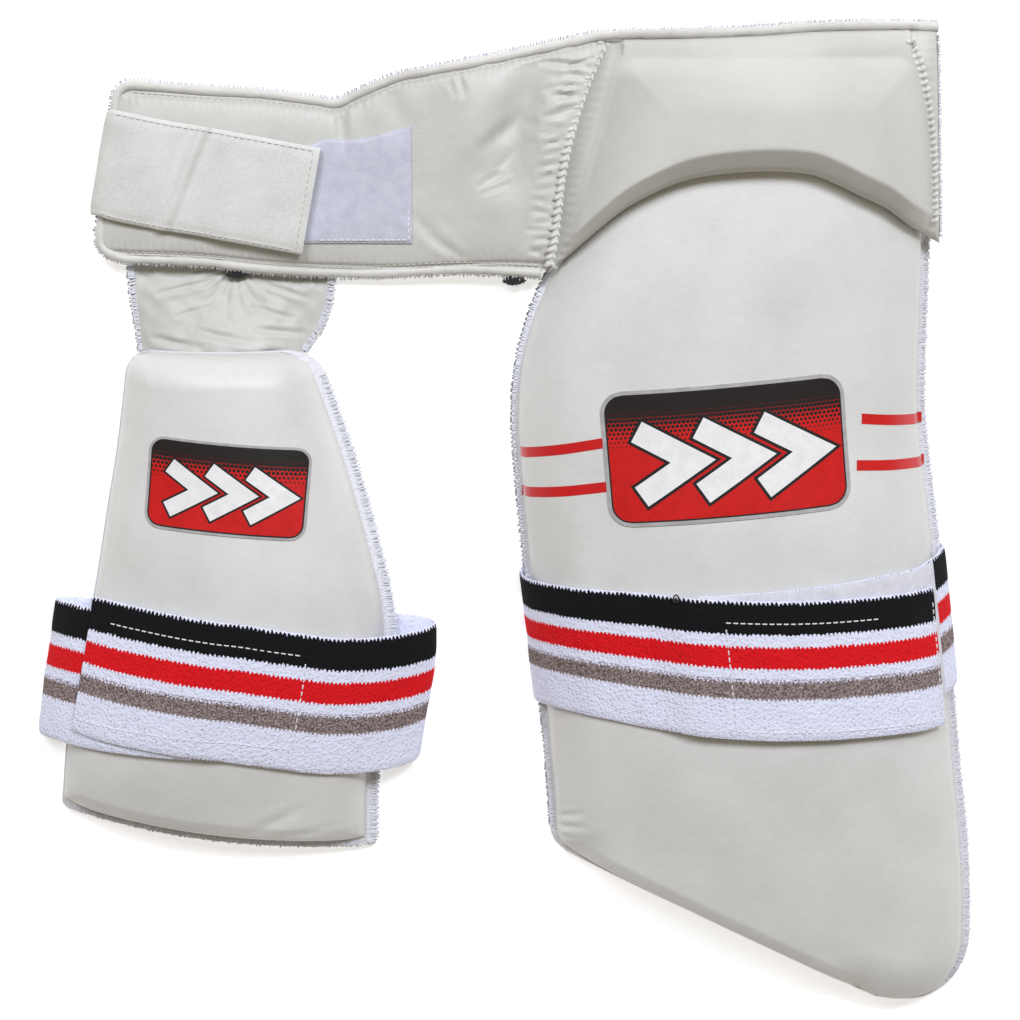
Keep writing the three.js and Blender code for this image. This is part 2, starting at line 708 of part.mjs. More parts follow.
function topPipingPoints() {
  const points = [];
  const out = PIPING_RADIUS + PIPING_GAP;
  for (let i = 0; i <= PIPING_STATIONS; i += 1) {
    const [x, y] = beltPoint(lerp(TOP_PIPING.from, TOP_PIPING.to, i / PIPING_STATIONS), 1);
    points.push(new THREE.Vector3(x, y + out, beltUnder(x) + BELT_EDGE / 2 + PIPING_LIFT));
  }
  for (let i = 1; i <= HIP_PIPING_STATIONS; i += 1) {
    const [x, y] = hipPoint(i / HIP_PIPING_STATIONS, 1);
    points.push(new THREE.Vector3(x, y + out, outer.top(x, y) + HIP_GAP + HIP_EDGE / 2));
  }
  return points;
}

function footPipingPoints() {
  const points = [];
  const out = PIPING_RADIUS + PIPING_GAP;
  for (let i = 0; i <= PIPING_STATIONS; i += 1) {
    const [x, y] = beltPoint(lerp(FOOT_PIPING.from, FOOT_PIPING.to, i / PIPING_STATIONS), 0);
    points.push(new THREE.Vector3(x, y - out, beltUnder(x) + BELT_EDGE / 2));
  }
  return points;
}

function loopPatchGeometry() {
  const { across, along } = GRIDS.loop;
  return layered(across, along, (s, t, side) => {
    const x = lerp(LOOP_LEFT, LOOP_RIGHT, s);
    const y = lerp(LOOP_FOOT, HIP_FOOT + read(LOOP_ROWS, "at", s, "top"), t);
    return [x, y, beltTop(x, y) + CLEAR + (side > 0 ? LOOP_THICK : 0)];
  });
}

// Fastening strap: from behind the belt round its left end and along its front
function waistStrapY(x) {
  const share = (x - WAIST_TURN) / (WAIST_STRAP_END - WAIST_TURN);
  return HIP_FOOT + read(WAIST_STRAP_COURSE, "at", share, "along");
}

function waistStrapPath(v) {
  const y = (x) => waistStrapY(x) + WAIST_STRAP_WIDTH * (v - 0.5);
  const half = WAIST_STRAP_THICK / 2;
  const shift = WAIST_STRAP_LEAN * (v - 0.5);
  const back = WAIST_BACK_STATIONS.map((station) => {
    const x = BELT_LEFT + station;
    const low = Math.min(beltUnder(x) - CLEAR - half, half + WAIST_BACK_HEIGHT);
    return new THREE.Vector3(x + shift, y(x), low);
  });
  const turnX = WAIST_TURN + shift;
  const { low, middle, high } = WAIST_TURN_HEIGHTS;
  const turn = [
    new THREE.Vector3(turnX + WAIST_TURN_REACH, y(turnX), low),
    new THREE.Vector3(turnX, y(turnX), middle),
    new THREE.Vector3(turnX + WAIST_TURN_REACH, y(turnX), high),
  ];
  const front = WAIST_FRONT_STATIONS.map((station) => {
    const x = BELT_LEFT + station;
    const over = 2 * CLEAR + (LOOP_THICK + CLEAR) * blend(x, LOOP_CLIMB.from, LOOP_CLIMB.to);
    return new THREE.Vector3(x + shift, y(x), beltTop(x + shift, y(x)) + over + half);
  });
  return new THREE.CatmullRomCurve3([...back, ...turn, ...front], false, "centripetal");
}

function waistStrapGeometry() {
  const { across, along } = WAIST_GRID;
  const paths = Array.from({ length: along + 1 }, (_, i) => waistStrapPath(i / along));
  return layered(across, along, (u, v, side) => {
    const path = paths[Math.round(v * along)];
    const p = path.getPoint(u);
    const tangent = path.getTangent(u).setY(0).normalize();
    const push = (side * WAIST_STRAP_THICK) / 2;
    return [p.x - tangent.z * push, p.y, p.z + tangent.x * push];
  });
}

// Tab from behind the belt to behind the inner pad's upper end
function tabGeometry() {
  const { across, along } = GRIDS.tab;
  return layered(across, along, (s, t, side) => {
    const y = lerp(TAB_FOOT, TAB_TOP, t);
    const left = INNER_MID + TAB_WIDTH * read(TAB_ROWS, "at", t, "left");
    const right = INNER_MID + TAB_WIDTH * read(TAB_ROWS, "at", t, "right");
    const x = lerp(left, right, s);
    const tucked = inner.under(x, Math.min(y, INNER_TOP)) - TAB_PAD_GAP - TAB_THICK;
    const hung = Math.min(beltUnder(x) - TAB_BELT_GAP - TAB_THICK, TAB_HANG);
    const low = Math.max(lerp(tucked, hung, blend(y, TAB_BEND.from, TAB_BEND.to)), TAB_LOWEST);
    return [x, y, low + (side > 0 ? TAB_THICK : 0)];
  });
}

// Badge plate lying on a panel
function badgeGeometry(panel, badge) {
  const { across, along, bunchAcross, bunchAlong } = GRIDS.badge;
  return layered(across, along, (s, t, side) => {
    const v = lerp(-badge.height / 2, badge.height / 2, bunched(t, bunchAlong));
    const inset = cornerInset(badge.corner, badge.height / 2 - Math.abs(v));
    const u = lerp(-badge.width / 2 + inset, badge.width / 2 - inset, bunched(s, bunchAcross));
    const x = badge.x + u - badge.slant * v;
    const y = badge.y + v + badge.slant * u;
    return [x, y, panel.top(x, y) + BADGE_GAP + (side > 0 ? BADGE_THICK : 0)];
  });
}

const guard = new THREE.Group();
guard.name = "thigh_guard";

function add(name, geometry, colour) {
  const mesh = new THREE.Mesh(geometry, new THREE.MeshStandardMaterial({ color: colour, name }));
  mesh.name = name;
  guard.add(mesh);
}

add("outer_backing", outer.backingGeometry(GRIDS.outerBacking), "#d9d8de");
add("outer_pad", outer.padGeometry(GRIDS.outerPad), "#e0dfda");
add("hip_pad", hipGeometry(), "#dedcd6");
add("outer_badge", badgeGeometry(outer, OUTER_BADGE), "#c8201c");
add("inner_backing", inner.backingGeometry(GRIDS.innerBacking), "#d9d8de");
add("inner_pad", inner.padGeometry(GRIDS.innerPad), "#e0dfda");
add("inner_badge", badgeGeometry(inner, INNER_BADGE), "#c8201c");
add("waist_belt", beltGeometry(), "#dfddd6");
add("belt_top_piping", pipingGeometry(topPipingPoints(), GRIDS.topPiping), "#e6e3d9");
add("belt_foot_piping", pipingGeometry(footPipingPoints(), GRIDS.footPiping), "#e6e3d9");
add("loop_patch", loopPatchGeometry(), "#e4e4f0");
add("waist_strap", waistStrapGeometry(), "#e4e2d8");
add("hanging_tab", tabGeometry(), "#dcdad3");
add(
  "outer_strap",
  outerRing.ribbon({
    from: OUTER_STRAP_START,
    to: OUTER_STRAP_END,
    thick: STRAP_THICK,
    course: OUTER_STRAP_COURSE,
    layer: (turn) => OUTER_OVERLAP * blend(turn, OUTER_STRAP_STEP.from, OUTER_STRAP_STEP.to),
  }),
  "#e8e8f0",
);
add(
  "outer_strap_patch",
  outerRing.ribbon({
    from: OUTER_STRAP_START,
    to: OUTER_STRAP_PATCH_END,
    thick: PATCH_THICK,
    course: OUTER_STRAP_COURSE,
    layer: () => (STRAP_THICK + PATCH_THICK) / 2 + CLEAR,
  }),
  "#eeeef4",
);
add(
  "inner_strap",
  innerRing.ribbon({
    from: INNER_STRAP_START,
    to: INNER_STRAP_END,
    thick: STRAP_THICK,
    course: INNER_STRAP_COURSE,
    layer: (turn) => INNER_OVERLAP * blend(-turn, INNER_STRAP_STEP.from, INNER_STRAP_STEP.to),
  }),
  "#e8e8f0",
);

// Frame: the middle of the bounding box on the floor
const box = new THREE.Box3().setFromObject(guard);
const middle = box.getCenter(new THREE.Vector3());
for (const mesh of guard.children) mesh.position.set(-middle.x, -middle.y, -box.min.z);

export default guard;
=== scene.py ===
"""Combined cricket thigh guard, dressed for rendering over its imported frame."""

import logging
import math
from collections.abc import Callable
from dataclasses import dataclass, field
from enum import Enum

import bpy
import numpy as np
from mathutils import Matrix, Vector


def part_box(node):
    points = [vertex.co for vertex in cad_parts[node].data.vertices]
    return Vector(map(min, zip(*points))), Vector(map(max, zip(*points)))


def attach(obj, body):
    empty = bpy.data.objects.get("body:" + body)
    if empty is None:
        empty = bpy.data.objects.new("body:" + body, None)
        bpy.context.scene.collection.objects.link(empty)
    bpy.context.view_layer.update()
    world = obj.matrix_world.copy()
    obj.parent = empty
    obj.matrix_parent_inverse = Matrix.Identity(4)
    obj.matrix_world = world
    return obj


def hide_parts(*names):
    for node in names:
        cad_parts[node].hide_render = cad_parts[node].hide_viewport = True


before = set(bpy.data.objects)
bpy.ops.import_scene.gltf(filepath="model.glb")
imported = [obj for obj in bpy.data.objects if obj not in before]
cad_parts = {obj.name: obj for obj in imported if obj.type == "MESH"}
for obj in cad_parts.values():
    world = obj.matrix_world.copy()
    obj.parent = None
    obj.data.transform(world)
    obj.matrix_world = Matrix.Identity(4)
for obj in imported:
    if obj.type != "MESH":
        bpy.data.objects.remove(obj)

Array = np.ndarray
Socket = bpy.types.NodeSocket
Material = bpy.types.Material
Object = bpy.types.Object
Place = Callable[[Array, Array, float], Array]

LOG = logging.getLogger("thigh_guard")
SEED = 7803
MM = 0.001
BODY = "root"


class Slot(Enum):
    """Material slots of the record."""

    LEATHER = "leather"
    LINING = "lining"
    ELASTIC = "elastic"
    HOOK = "hook_and_loop"
    WEBBING = "webbing"
    PIPING = "piping"
    PRINT = "badge_print"


class Side(Enum):
    """Side of a panel, as the sign of the direction that leads out of it."""

    LEFT = -1
    RIGHT = 1


# Gaps, thicknesses and places that several pieces share, in mm
CLEAR = 0.3
BACKING = 2.5
PAD_GAP = 0.6
STRAP_BACK_LIFT = 2.1
LIFT_BLEND = 60.0
STRAP_WIDTH = 63.5
STRAP_THICK = 1.8
STRAP_GAP = 0.8
PATCH_THICK = 1.0
HIP_GAP = 1.2
LOOP_LEFT = -112.0
LOOP_FOOT = 131.0
PIPING_RADIUS = 2.1

# Points laid along a seam and along an elastic's whole course
SEAM_POINTS = 160
COURSE_POINTS = 900


def lerp(a: Array | float, b: Array | float, t: Array | float) -> Array:
    """Straight blend from a to b."""
    return a + (b - a) * np.asarray(t)


def smooth(x: Array | float, start: float, end: float) -> Array:
    """Smooth step from 0 at start to 1 at end."""
    t = np.clip((np.asarray(x, float) - start) / (end - start), 0, 1)
    return t * t * (3 - 2 * t)


def bunched(count: int, amount: float) -> Array:
    """Values from 0 to 1, closer together towards both ends.

    Args:
        count: Number of steps.
        amount: 0 for even steps, 1 for cosine steps.

    Returns:
        The count + 1 values.
    """
    t = np.linspace(0, 1, count + 1)
    return lerp(t, 0.5 - 0.5 * np.cos(np.pi * t), amount)


def corner_inset(radius: float, distance: Array) -> Array:
    """Inset of a rounded corner at a distance from the edge it ends on."""
    rest = np.clip(1 - distance / radius, 0, 1)
    return radius * (1 - np.sqrt(1 - rest * rest))


def unit(vectors: Array) -> Array:
    """The same directions at length 1."""
    return vectors / np.maximum(np.linalg.norm(vectors, axis=-1, keepdims=True), 1e-9)


def spots(*columns: Array) -> Array:
    """Points from their coordinates."""
    return np.stack(columns, axis=-1)


def hump(offset: Array, width: float) -> Array:
    """Smooth hump of height 1 where the offset is 0, in a width."""
    return np.exp(-((offset / width) ** 2))


def distances(line: Array) -> Array:
    """Distance of each point of a line from its start, along the line."""
    return np.concatenate([[0], np.cumsum(np.linalg.norm(np.diff(line, axis=0), axis=1))])


def sideways(way: Array) -> Array:
    """Directions level with the table, turned a quarter to the right of the given ones."""
    return spots(way[:, 1], -way[:, 0], np.zeros(len(way)))


def read_along(wanted: Array, keys: Array, rows: Array) -> Array:
    """Rows of numbers read straight between their keys.

    Args:
        wanted: Key values to read at.
        keys: Key of each row.
        rows: The rows.

    Returns:
        One row for each wanted value.
    """
    return np.stack([np.interp(wanted, keys, column) for column in rows.T], axis=-1)


def resample(line: Array, step: float) -> Array:
    """Points along a line at even steps.

    Args:
        line: Points of the line, one per row.
        step: Distance wanted between points.

    Returns:
        The new points, ends included.
    """
    lengths = distances(line)
    count = max(int(round(lengths[-1] / step)), 2)
    return read_along(np.linspace(0, lengths[-1], count + 1), lengths, line)


def softened(line: Array, reach: int) -> Array:
    """A line with its kinks rounded off, its ends kept.

    Args:
        line: Points of the line, evenly spaced.
        reach: Number of neighbours to each side that a point is averaged with.

    Returns:
        The rounded line.
    """
    padded = np.concatenate([np.repeat(line[:1], reach, 0), line, np.repeat(line[-1:], reach, 0)])
    weights = np.hanning(2 * reach + 3)[1:-1]
    weights = weights / weights.sum()
    made = np.stack([np.convolve(column, weights, "valid") for column in padded.T], axis=1)
    made[0], made[-1] = line[0], line[-1]
    return made


@dataclass(frozen=True)
class Table:
    """Rows of numbers, the first of each row its key, read smoothly in between."""

    rows: tuple[tuple[float, ...], ...]

    def read(self, value: Array | float, column: int = 1) -> Array:
        """Reads a column.

        Args:
            value: Key values to read at.
            column: Index of the column.

        Returns:
            The column's values there.
        """
        table = np.asarray(self.rows, float)
        key, col = table[:, 0], table[:, column]
        last = len(key) - 1
        index = np.arange(last + 1)
        before, after = np.maximum(index - 1, 0), np.minimum(index + 1, last)
        slope = (col[after] - col[before]) / (key[after] - key[before])
        v = np.clip(value, key[0], key[-1])
        i = np.clip(np.searchsorted(key, v, side="right") - 1, 0, last - 1)
        span = key[i + 1] - key[i]
        t = (v - key[i]) / span
        s = 1 - t
        ends = col[i] * (1 + 2 * t) * s * s + col[i + 1] * (3 - 2 * t) * t * t
        return ends + slope[i] * span * t * s * s - slope[i + 1] * span * s * t * t


@dataclass(frozen=True)
class Crease:
    """A soft furrow in a surface, from one point to another, in mm."""

    start: tuple[float, float]
    end: tuple[float, float]
    depth: float
    width: float

    def press(self, x: Array, y: Array) -> Array:
        """Height that the furrow adds at points of the surface.

        Args:
            x: Place across.
            y: Place along.

        Returns:
            The heights.
        """
        ax, ay = self.start
        dx, dy = self.end[0] - ax, self.end[1] - ay
        along = np.clip(((x - ax) * dx + (y - ay) * dy) / (dx * dx + dy * dy), 0, 1)
        off = np.hypot(x - ax - along * dx, y - ay - along * dy) / self.width
        fade = np.sin(np.pi * (0.12 + 0.76 * along))
        lip = 0.45 * np.exp(-((off - 1.9) ** 2))
        return self.depth * fade * (lip - np.exp(-off * off))


@dataclass(frozen=True)
class Unevenness:
    """Slow random waves of a hand-made surface."""

    height: float
    wave: float
    seed: int

    def at(self, x: Array, y: Array) -> Array:
        """Height of the waves at points of the surface.

        Args:
            x: Place across.
            y: Place along.

        Returns:
            The heights.
        """
        random = np.random.default_rng(self.seed)
        total = np.zeros(np.shape(x))
        for _ in range(9):
            angle = random.uniform(0, 2 * math.pi)
            pace = 2 * math.pi / (self.wave * random.uniform(0.6, 1.7))
            phase = random.uniform(0, 2 * math.pi)
            total = total + np.sin(pace * (x * math.cos(angle) + y * math.sin(angle)) + phase)
        return self.height * total / 3


class Maker:
    """Turns points in mm of the part's own drawing frame into Blender meshes, and holds their finishes."""

    def __init__(self) -> None:
        """Finds the drawing frame and makes the finishes."""
        low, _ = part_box("loop_patch")
        self.shift = np.array([low.x / MM - LOOP_LEFT, low.y / MM - LOOP_FOOT, 0.0])
        self.finishes = Finishes()
        LOG.info("drawing frame moved by %s mm", np.round(self.shift, 2))

    def mesh(
        self,
        name: str,
        points: Array,
        faces: list[tuple[int, ...]],
        uv: Array | None = None,
        sharp_deg: float = 60.0,
    ) -> Object:
        """Makes one mesh object.

        Args:
            name: Name of the piece.
            points: Corner points in mm, one per row.
            faces: Corner numbers of each face.
            uv: Surface coordinates in mm of each point, where the finish needs them.
            sharp_deg: Angle above which an edge stays crisp.

        Returns:
            The new object.
        """
        data = bpy.data.meshes.new(name)
        data.from_pydata(((points + self.shift) * MM).tolist(), [], faces)
        data.polygons.foreach_set("use_smooth", [True] * len(data.polygons))
        if uv is not None:
            corners = np.zeros(len(data.loops), np.int32)
            data.loops.foreach_get("vertex_index", corners)
            layer = data.uv_layers.new(name="UVMap")
            layer.data.foreach_set("uv", (uv[corners] * MM).ravel())
        data.set_sharp_from_angle(angle=math.radians(sharp_deg))
        made = bpy.data.objects.new(name, data)
        bpy.context.scene.collection.objects.link(made)
        return made

    def slab(
        self,
        name: str,
        place: Place,
        us: Array,
        vs: Array,
        uv: Array | None = None,
        sharp_deg: float = 60.0,
    ) -> Object:
        """Makes a closed sheet between an outer and an inner grid.

        Args:
            name: Name of the piece.
            place: Gives the points at grid values, outer side 1 and inner side -1.
            us: Grid values across.
            vs: Grid values along.
            uv: Surface coordinates of the grid, rows along.
            sharp_deg: Angle above which an edge stays crisp.

        Returns:
            The new object, its outer faces first.
        """
        u, v = np.meshgrid(us, vs)
        points = np.concatenate([place(u, v, s).reshape(-1, 3) for s in (1.0, -1.0)])
        rows, columns = u.shape
        layer = rows * columns
        corner = np.arange(layer).reshape(rows, columns)
        a, b = corner[:-1, :-1].ravel(), corner[:-1, 1:].ravel()
        c, d = corner[1:, 1:].ravel(), corner[1:, :-1].ravel()
        ring = np.concatenate([corner[0, :-1], corner[:-1, -1], corner[-1, :0:-1], corner[:0:-1, 0]])
        after = np.roll(ring, -1)
        faces = np.concatenate(
            [
                np.stack([a, b, c, d], 1),
                np.stack([layer + a, layer + d, layer + c, layer + b], 1),
                np.stack([ring, ring + layer, after + layer, after], 1),
            ]
        )
        both = None if uv is None else np.concatenate([uv.reshape(-1, 2)] * 2)
        made = self.mesh(name, points, faces.tolist(), both, sharp_deg)
        made["outer_faces"] = len(a)
        return made

    def skin(self, name: str, points: Array, uv: Array | None = None) -> Object:
        """Makes an open sheet from a grid of points.

        Args:
            name: Name of the piece.
            points: Grid of points, rows by columns by 3.
            uv: Surface coordinates of the grid.

        Returns:
            The new object.
        """
        rows, columns = points.shape[:2]
        corner = np.arange(rows * columns).reshape(rows, columns)
        faces = np.stack(
            [
                corner[:-1, :-1].ravel(),
                corner[:-1, 1:].ravel(),
                corner[1:, 1:].ravel(),
                corner[1:, :-1].ravel(),
            ],
            1,
        )
        flat = None if uv is None else uv.reshape(-1, 2)
        return self.mesh(name, points.reshape(-1, 3), faces.tolist(), flat)

    def tubes(
        self, name: str, paths: Array, radius: float | Array, sides: int = 6
    ) -> Object:
        """Makes a bundle of closed tubes of equal point counts.

        Args:
            name: Name of the piece.
            paths: Centre lines, tubes by points by 3.
            radius: Radius, one for all or one for each point.
            sides: Number of sides of each tube.

        Returns:
            The new object.
        """
        count, steps = paths.shape[:2]
        tangent = unit(np.gradient(paths, axis=1))
        helper = np.where(np.abs(tangent[..., 2:]) > 0.9, [1.0, 0.0, 0.0], [0.0, 0.0, 1.0])
        across = unit(np.cross(tangent, helper))
        other = np.cross(across, tangent)
        angle = 2 * math.pi * np.arange(sides) / sides
        size = np.broadcast_to(np.asarray(radius, float), (steps,))[None, :, None, None]
        ring = across[:, :, None] * np.cos(angle)[:, None] + other[:, :, None] * np.sin(angle)[:, None]
        points = paths[:, :, None] + size * ring
        number = np.arange(count * steps * sides).reshape(count, steps, sides)
        turned = np.roll(number, -1, axis=2)
        walls = np.stack(
            [number[:, :-1], number[:, 1:], turned[:, 1:], turned[:, :-1]], -1
        ).reshape(-1, 4)
        faces = walls.tolist()
        faces += number[:, 0].tolist()
        faces += number[:, -1, ::-1].tolist()
        return self.mesh(name, points.reshape(-1, 3), faces)


def settle(
    piece: Object,
    slot: Slot,
    materials: list[Material],
    *nodes: str,
) -> Object:
    """Gives a piece its finish, its body and the solids that it stands for.

    Args:
        piece: The finished mesh.
        slot: Material slot of the record that its finish comes from; not used.
        materials: Its finish, and the one of its inner side where that differs.
        nodes: Solids that it stands for.

    Returns:
        The same piece.
    """
    for material in materials:
        piece.data.materials.append(material)
    if len(materials) > 1:
        index = np.ones(len(piece.data.polygons), np.int32)
        index[: piece["outer_faces"]] = 0
        piece.data.polygons.foreach_set("material_index", index)
    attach(piece, BODY)
    if nodes:
        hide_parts(*nodes)
    LOG.info("%s: %d faces", piece.name, len(piece.data.polygons))
    return piece


class Graph:
    """Short ways of laying out the shader nodes of one material."""

    def __init__(self, name: str) -> None:
        """Starts a material.

        Args:
            name: Its name.
        """
        self.material = bpy.data.materials.new(name)
        self.material.use_nodes = True
        self.tree = self.material.node_tree
        self.shader = self.tree.nodes["Principled BSDF"]
        self.place = self.node("ShaderNodeTexCoord").outputs["Object"]

    def node(self, kind: str, **settings: object) -> bpy.types.Node:
        """Adds a node and sets its properties.

        Args:
            kind: Type of the node.
            **settings: Its properties.

        Returns:
            The node.
        """
        made = self.tree.nodes.new(kind)
        for key, value in settings.items():
            setattr(made, key, value)
        return made

    def feed(self, socket: Socket, value: object) -> None:
        """Links a socket to another, or sets its own value.

        Args:
            socket: Socket that is fed.
            value: Socket or value that goes in.
        """
        if isinstance(value, Socket):
            self.tree.links.new(value, socket)
        else:
            socket.default_value = value

    def maths(self, operation: str, *values: object) -> Socket:
        """Adds one Math node.

        Args:
            operation: Name of the operation.
            values: Sockets or numbers that go in.

        Returns:
            The result's socket.
        """
        made = self.node("ShaderNodeMath", operation=operation)
        for socket, value in zip(made.inputs, values):
            self.feed(socket, value)
        return made.outputs[0]

    def weigh(self, first: Socket, share: float, second: Socket, other: float) -> Socket:
        """Sum of two values, each times its weight.

        Args:
            first: Socket of the first value.
            share: Its weight.
            second: Socket of the second value.
            other: Its weight.

        Returns:
            The sum's socket.
        """
        parts = self.maths("MULTIPLY", first, share), self.maths("MULTIPLY", second, other)
        return self.maths("ADD", *parts)

    def surface(self) -> tuple[Socket, Socket]:
        """Sockets of the two surface coordinates, in mm.

        Returns:
            The two sockets.
        """
        split = self.node("ShaderNodeSeparateXYZ")
        self.feed(split.inputs[0], self.node("ShaderNodeUVMap", uv_map="UVMap").outputs[0])
        return tuple(self.maths("DIVIDE", split.outputs[i], MM) for i in (0, 1))

    def noise(self, size_mm: float, detail: float = 2.0, rough: float = 0.5) -> Socket:
        """Noise whose blotches are about a size across.

        Args:
            size_mm: Size of the blotches in mm.
            detail: Number of finer layers.
            rough: Strength of the finer layers.

        Returns:
            The noise's socket, 0 to 1.
        """
        made = self.node("ShaderNodeTexNoise")
        self.feed(made.inputs["Vector"], self.place)
        made.inputs["Scale"].default_value = 1 / (size_mm * MM)
        made.inputs["Detail"].default_value = detail
        made.inputs["Roughness"].default_value = rough
        return made.outputs[0]

    def cells(self, size_mm: float, feature: str = "F1") -> Socket:
        """Distance field of random cells of about a size.

        Args:
            size_mm: Size of the cells in mm.
            feature: Kind of distance.

        Returns:
            The distance's socket.
        """
        made = self.node("ShaderNodeTexVoronoi", feature=feature)
        self.feed(made.inputs["Vector"], self.place)
        made.inputs["Scale"].default_value = 1 / (size_mm * MM)
        return made.outputs["Distance"]

    def ramp(
        self, factor: Socket, stops: list[tuple[float, tuple[float, float, float]]], crisp: bool = False
    ) -> Socket:
        """Colour ramp.

        Args:
            factor: Socket that picks the colour.
            stops: Position and linear colour of each stop.
            crisp: True for hard borders between the colours.

        Returns:
            The colour's socket.
        """
        made = self.node("ShaderNodeValToRGB")
        ramp = made.color_ramp
        ramp.interpolation = "CONSTANT" if crisp else "LINEAR"
        while len(ramp.elements) < len(stops):
            ramp.elements.new(1.0)
        for element, (position, colour) in zip(ramp.elements, stops):
            element.position = position
            element.color = (*colour, 1)
        self.feed(made.inputs[0], factor)
        return made.outputs[0]

    def mix(self, factor: object, first: object, second: object) -> Socket:
        """Blend of two colours.

        Args:
            factor: Share of the second.
            first: Socket or linear colour.
            second: Socket or linear colour.

        Returns:
            The colour's socket.
        """
        made = self.node("ShaderNodeMix", data_type="RGBA")
        for index, value in ((0, factor), (6, first), (7, second)):
            whole = isinstance(value, tuple)
            self.feed(made.inputs[index], (*value, 1) if whole else value)
        return made.outputs[2]

    def multiply(self, first: object, second: object) -> Socket:
        """Product of two colours.

        Args:
            first: Socket of the first.
            second: Socket of the second.

        Returns:
            The product's socket.
        """
        made = self.node("ShaderNodeMix", data_type="RGBA", blend_type="MULTIPLY")
        made.inputs[0].default_value = 1.0
        self.feed(made.inputs[6], first)
        self.feed(made.inputs[7], second)
        return made.outputs[2]

    def bump(
        self, height: Socket, strength: float, depth_mm: float,
        below: Socket | None = None,
    ) -> Socket:
        """Relief from a height.

        Args:
            height: Socket of the height.
            strength: Strength of the relief.
            depth_mm: Height of a full step in mm.
            below: Relief that it adds to.

        Returns:
            The normal's socket.
        """
        made = self.node("ShaderNodeBump")
        made.inputs["Strength"].default_value = strength
        made.inputs["Distance"].default_value = depth_mm * MM
        self.feed(made.inputs["Height"], height)
        if below is not None:
            self.feed(made.inputs["Normal"], below)
        return made.outputs[0]

    def finish(
        self, colour: object, roughness: object, normal: Socket, **shader: float
    ) -> Material:
        """Connects the shader.

        Args:
            colour: Base colour, socket or linear colour.
            roughness: Socket or number.
            normal: Relief.
            shader: Further numbers set on the shader, by socket name with _ for a space.

        Returns:
            The material.
        """
        self.feed(self.shader.inputs["Base Color"], colour)
        self.feed(self.shader.inputs["Roughness"], roughness)
        self.feed(self.shader.inputs["Normal"], normal)
        for key, value in shader.items():
            self.shader.inputs[key.replace("_", " ")].default_value = value
        return self.material


Colour = tuple[float, float, float]


@dataclass(frozen=True)
class LeatherFinish:
    """Soft coated leather with a fine pebble grain and faint handling marks."""

    name: str
    light: Colour = (0.69, 0.69, 0.665)
    shade: Colour = (0.63, 0.63, 0.605)
    grain_mm: float = 0.9
    relief: float = 0.16
    roughness: float = 0.46

    def material(self) -> Material:
        """Lays out the leather's nodes.

        Returns:
            The material.
        """
        g = Graph(self.name)
        patches = g.noise(42.0, 3.0, 0.55)
        fine = g.noise(3.0, 3.0, 0.6)
        blend = g.weigh(patches, 0.75, fine, 0.25)
        colour = g.ramp(blend, [(0.36, self.shade), (0.6, self.light)])
        pebbles = g.cells(self.grain_mm)
        pores = g.noise(0.5, 2.0, 0.6)
        height = g.maths("ADD", pebbles, g.maths("MULTIPLY", pores, 0.5))
        soft = g.bump(g.noise(7.0, 2.0, 0.5), 0.25, 0.5)
        normal = g.bump(height, self.relief, 0.25, soft)
        rough = g.maths("ADD", g.maths("MULTIPLY", fine, 0.14), self.roughness - 0.07)
        return g.finish(
            colour, rough, normal, Specular_IOR_Level=0.42, Coat_Weight=0.06, Coat_Roughness=0.35
        )


@dataclass(frozen=True)
class TerryFinish:
    """Looped towelling of the linings and of wrapped edges."""

    name: str
    light: Colour = (0.80, 0.80, 0.84)
    shade: Colour = (0.52, 0.52, 0.57)
    loop_mm: float = 1.5

    def material(self) -> Material:
        """Lays out the towelling's nodes.

        Returns:
            The material.
        """
        g = Graph(self.name)
        loops = g.cells(self.loop_mm)
        fuzz = g.noise(0.7, 3.0, 0.7)
        height = g.maths("ADD", g.maths("MULTIPLY", loops, 0.9), fuzz)
        # The colour follows the relief height of the loops and fuzz: painted shade, darker where the loops
        # sit low.
        colour = g.ramp(height, [(0.25, self.shade), (0.75, self.light)])
        normal = g.bump(height, 0.7, 0.7)
        return g.finish(
            colour, 0.95, normal, Sheen_Weight=0.12, Sheen_Roughness=0.5, Specular_IOR_Level=0.2
        )


@dataclass(frozen=True)
class ThreadFinish:
    """Twisted sewing thread."""

    name: str
    light: Colour
    shade: Colour

    def material(self) -> Material:
        """Lays out the thread's nodes.

        Returns:
            The material.
        """
        g = Graph(self.name)
        fibres = g.noise(0.35, 2.0, 0.6)
        # The colour follows the fibres' relief: painted shade, darker where the fibres sit low.
        colour = g.ramp(fibres, [(0.3, self.shade), (0.65, self.light)])
        normal = g.bump(fibres, 0.5, 0.15)
        return g.finish(colour, 0.75, normal, Sheen_Weight=0.2, Specular_IOR_Level=0.3)


@dataclass(frozen=True)
class Stripe:
    """A colour band of the elastic, by its lower border from the top edge in mm."""

    start_mm: float
    colour: Colour


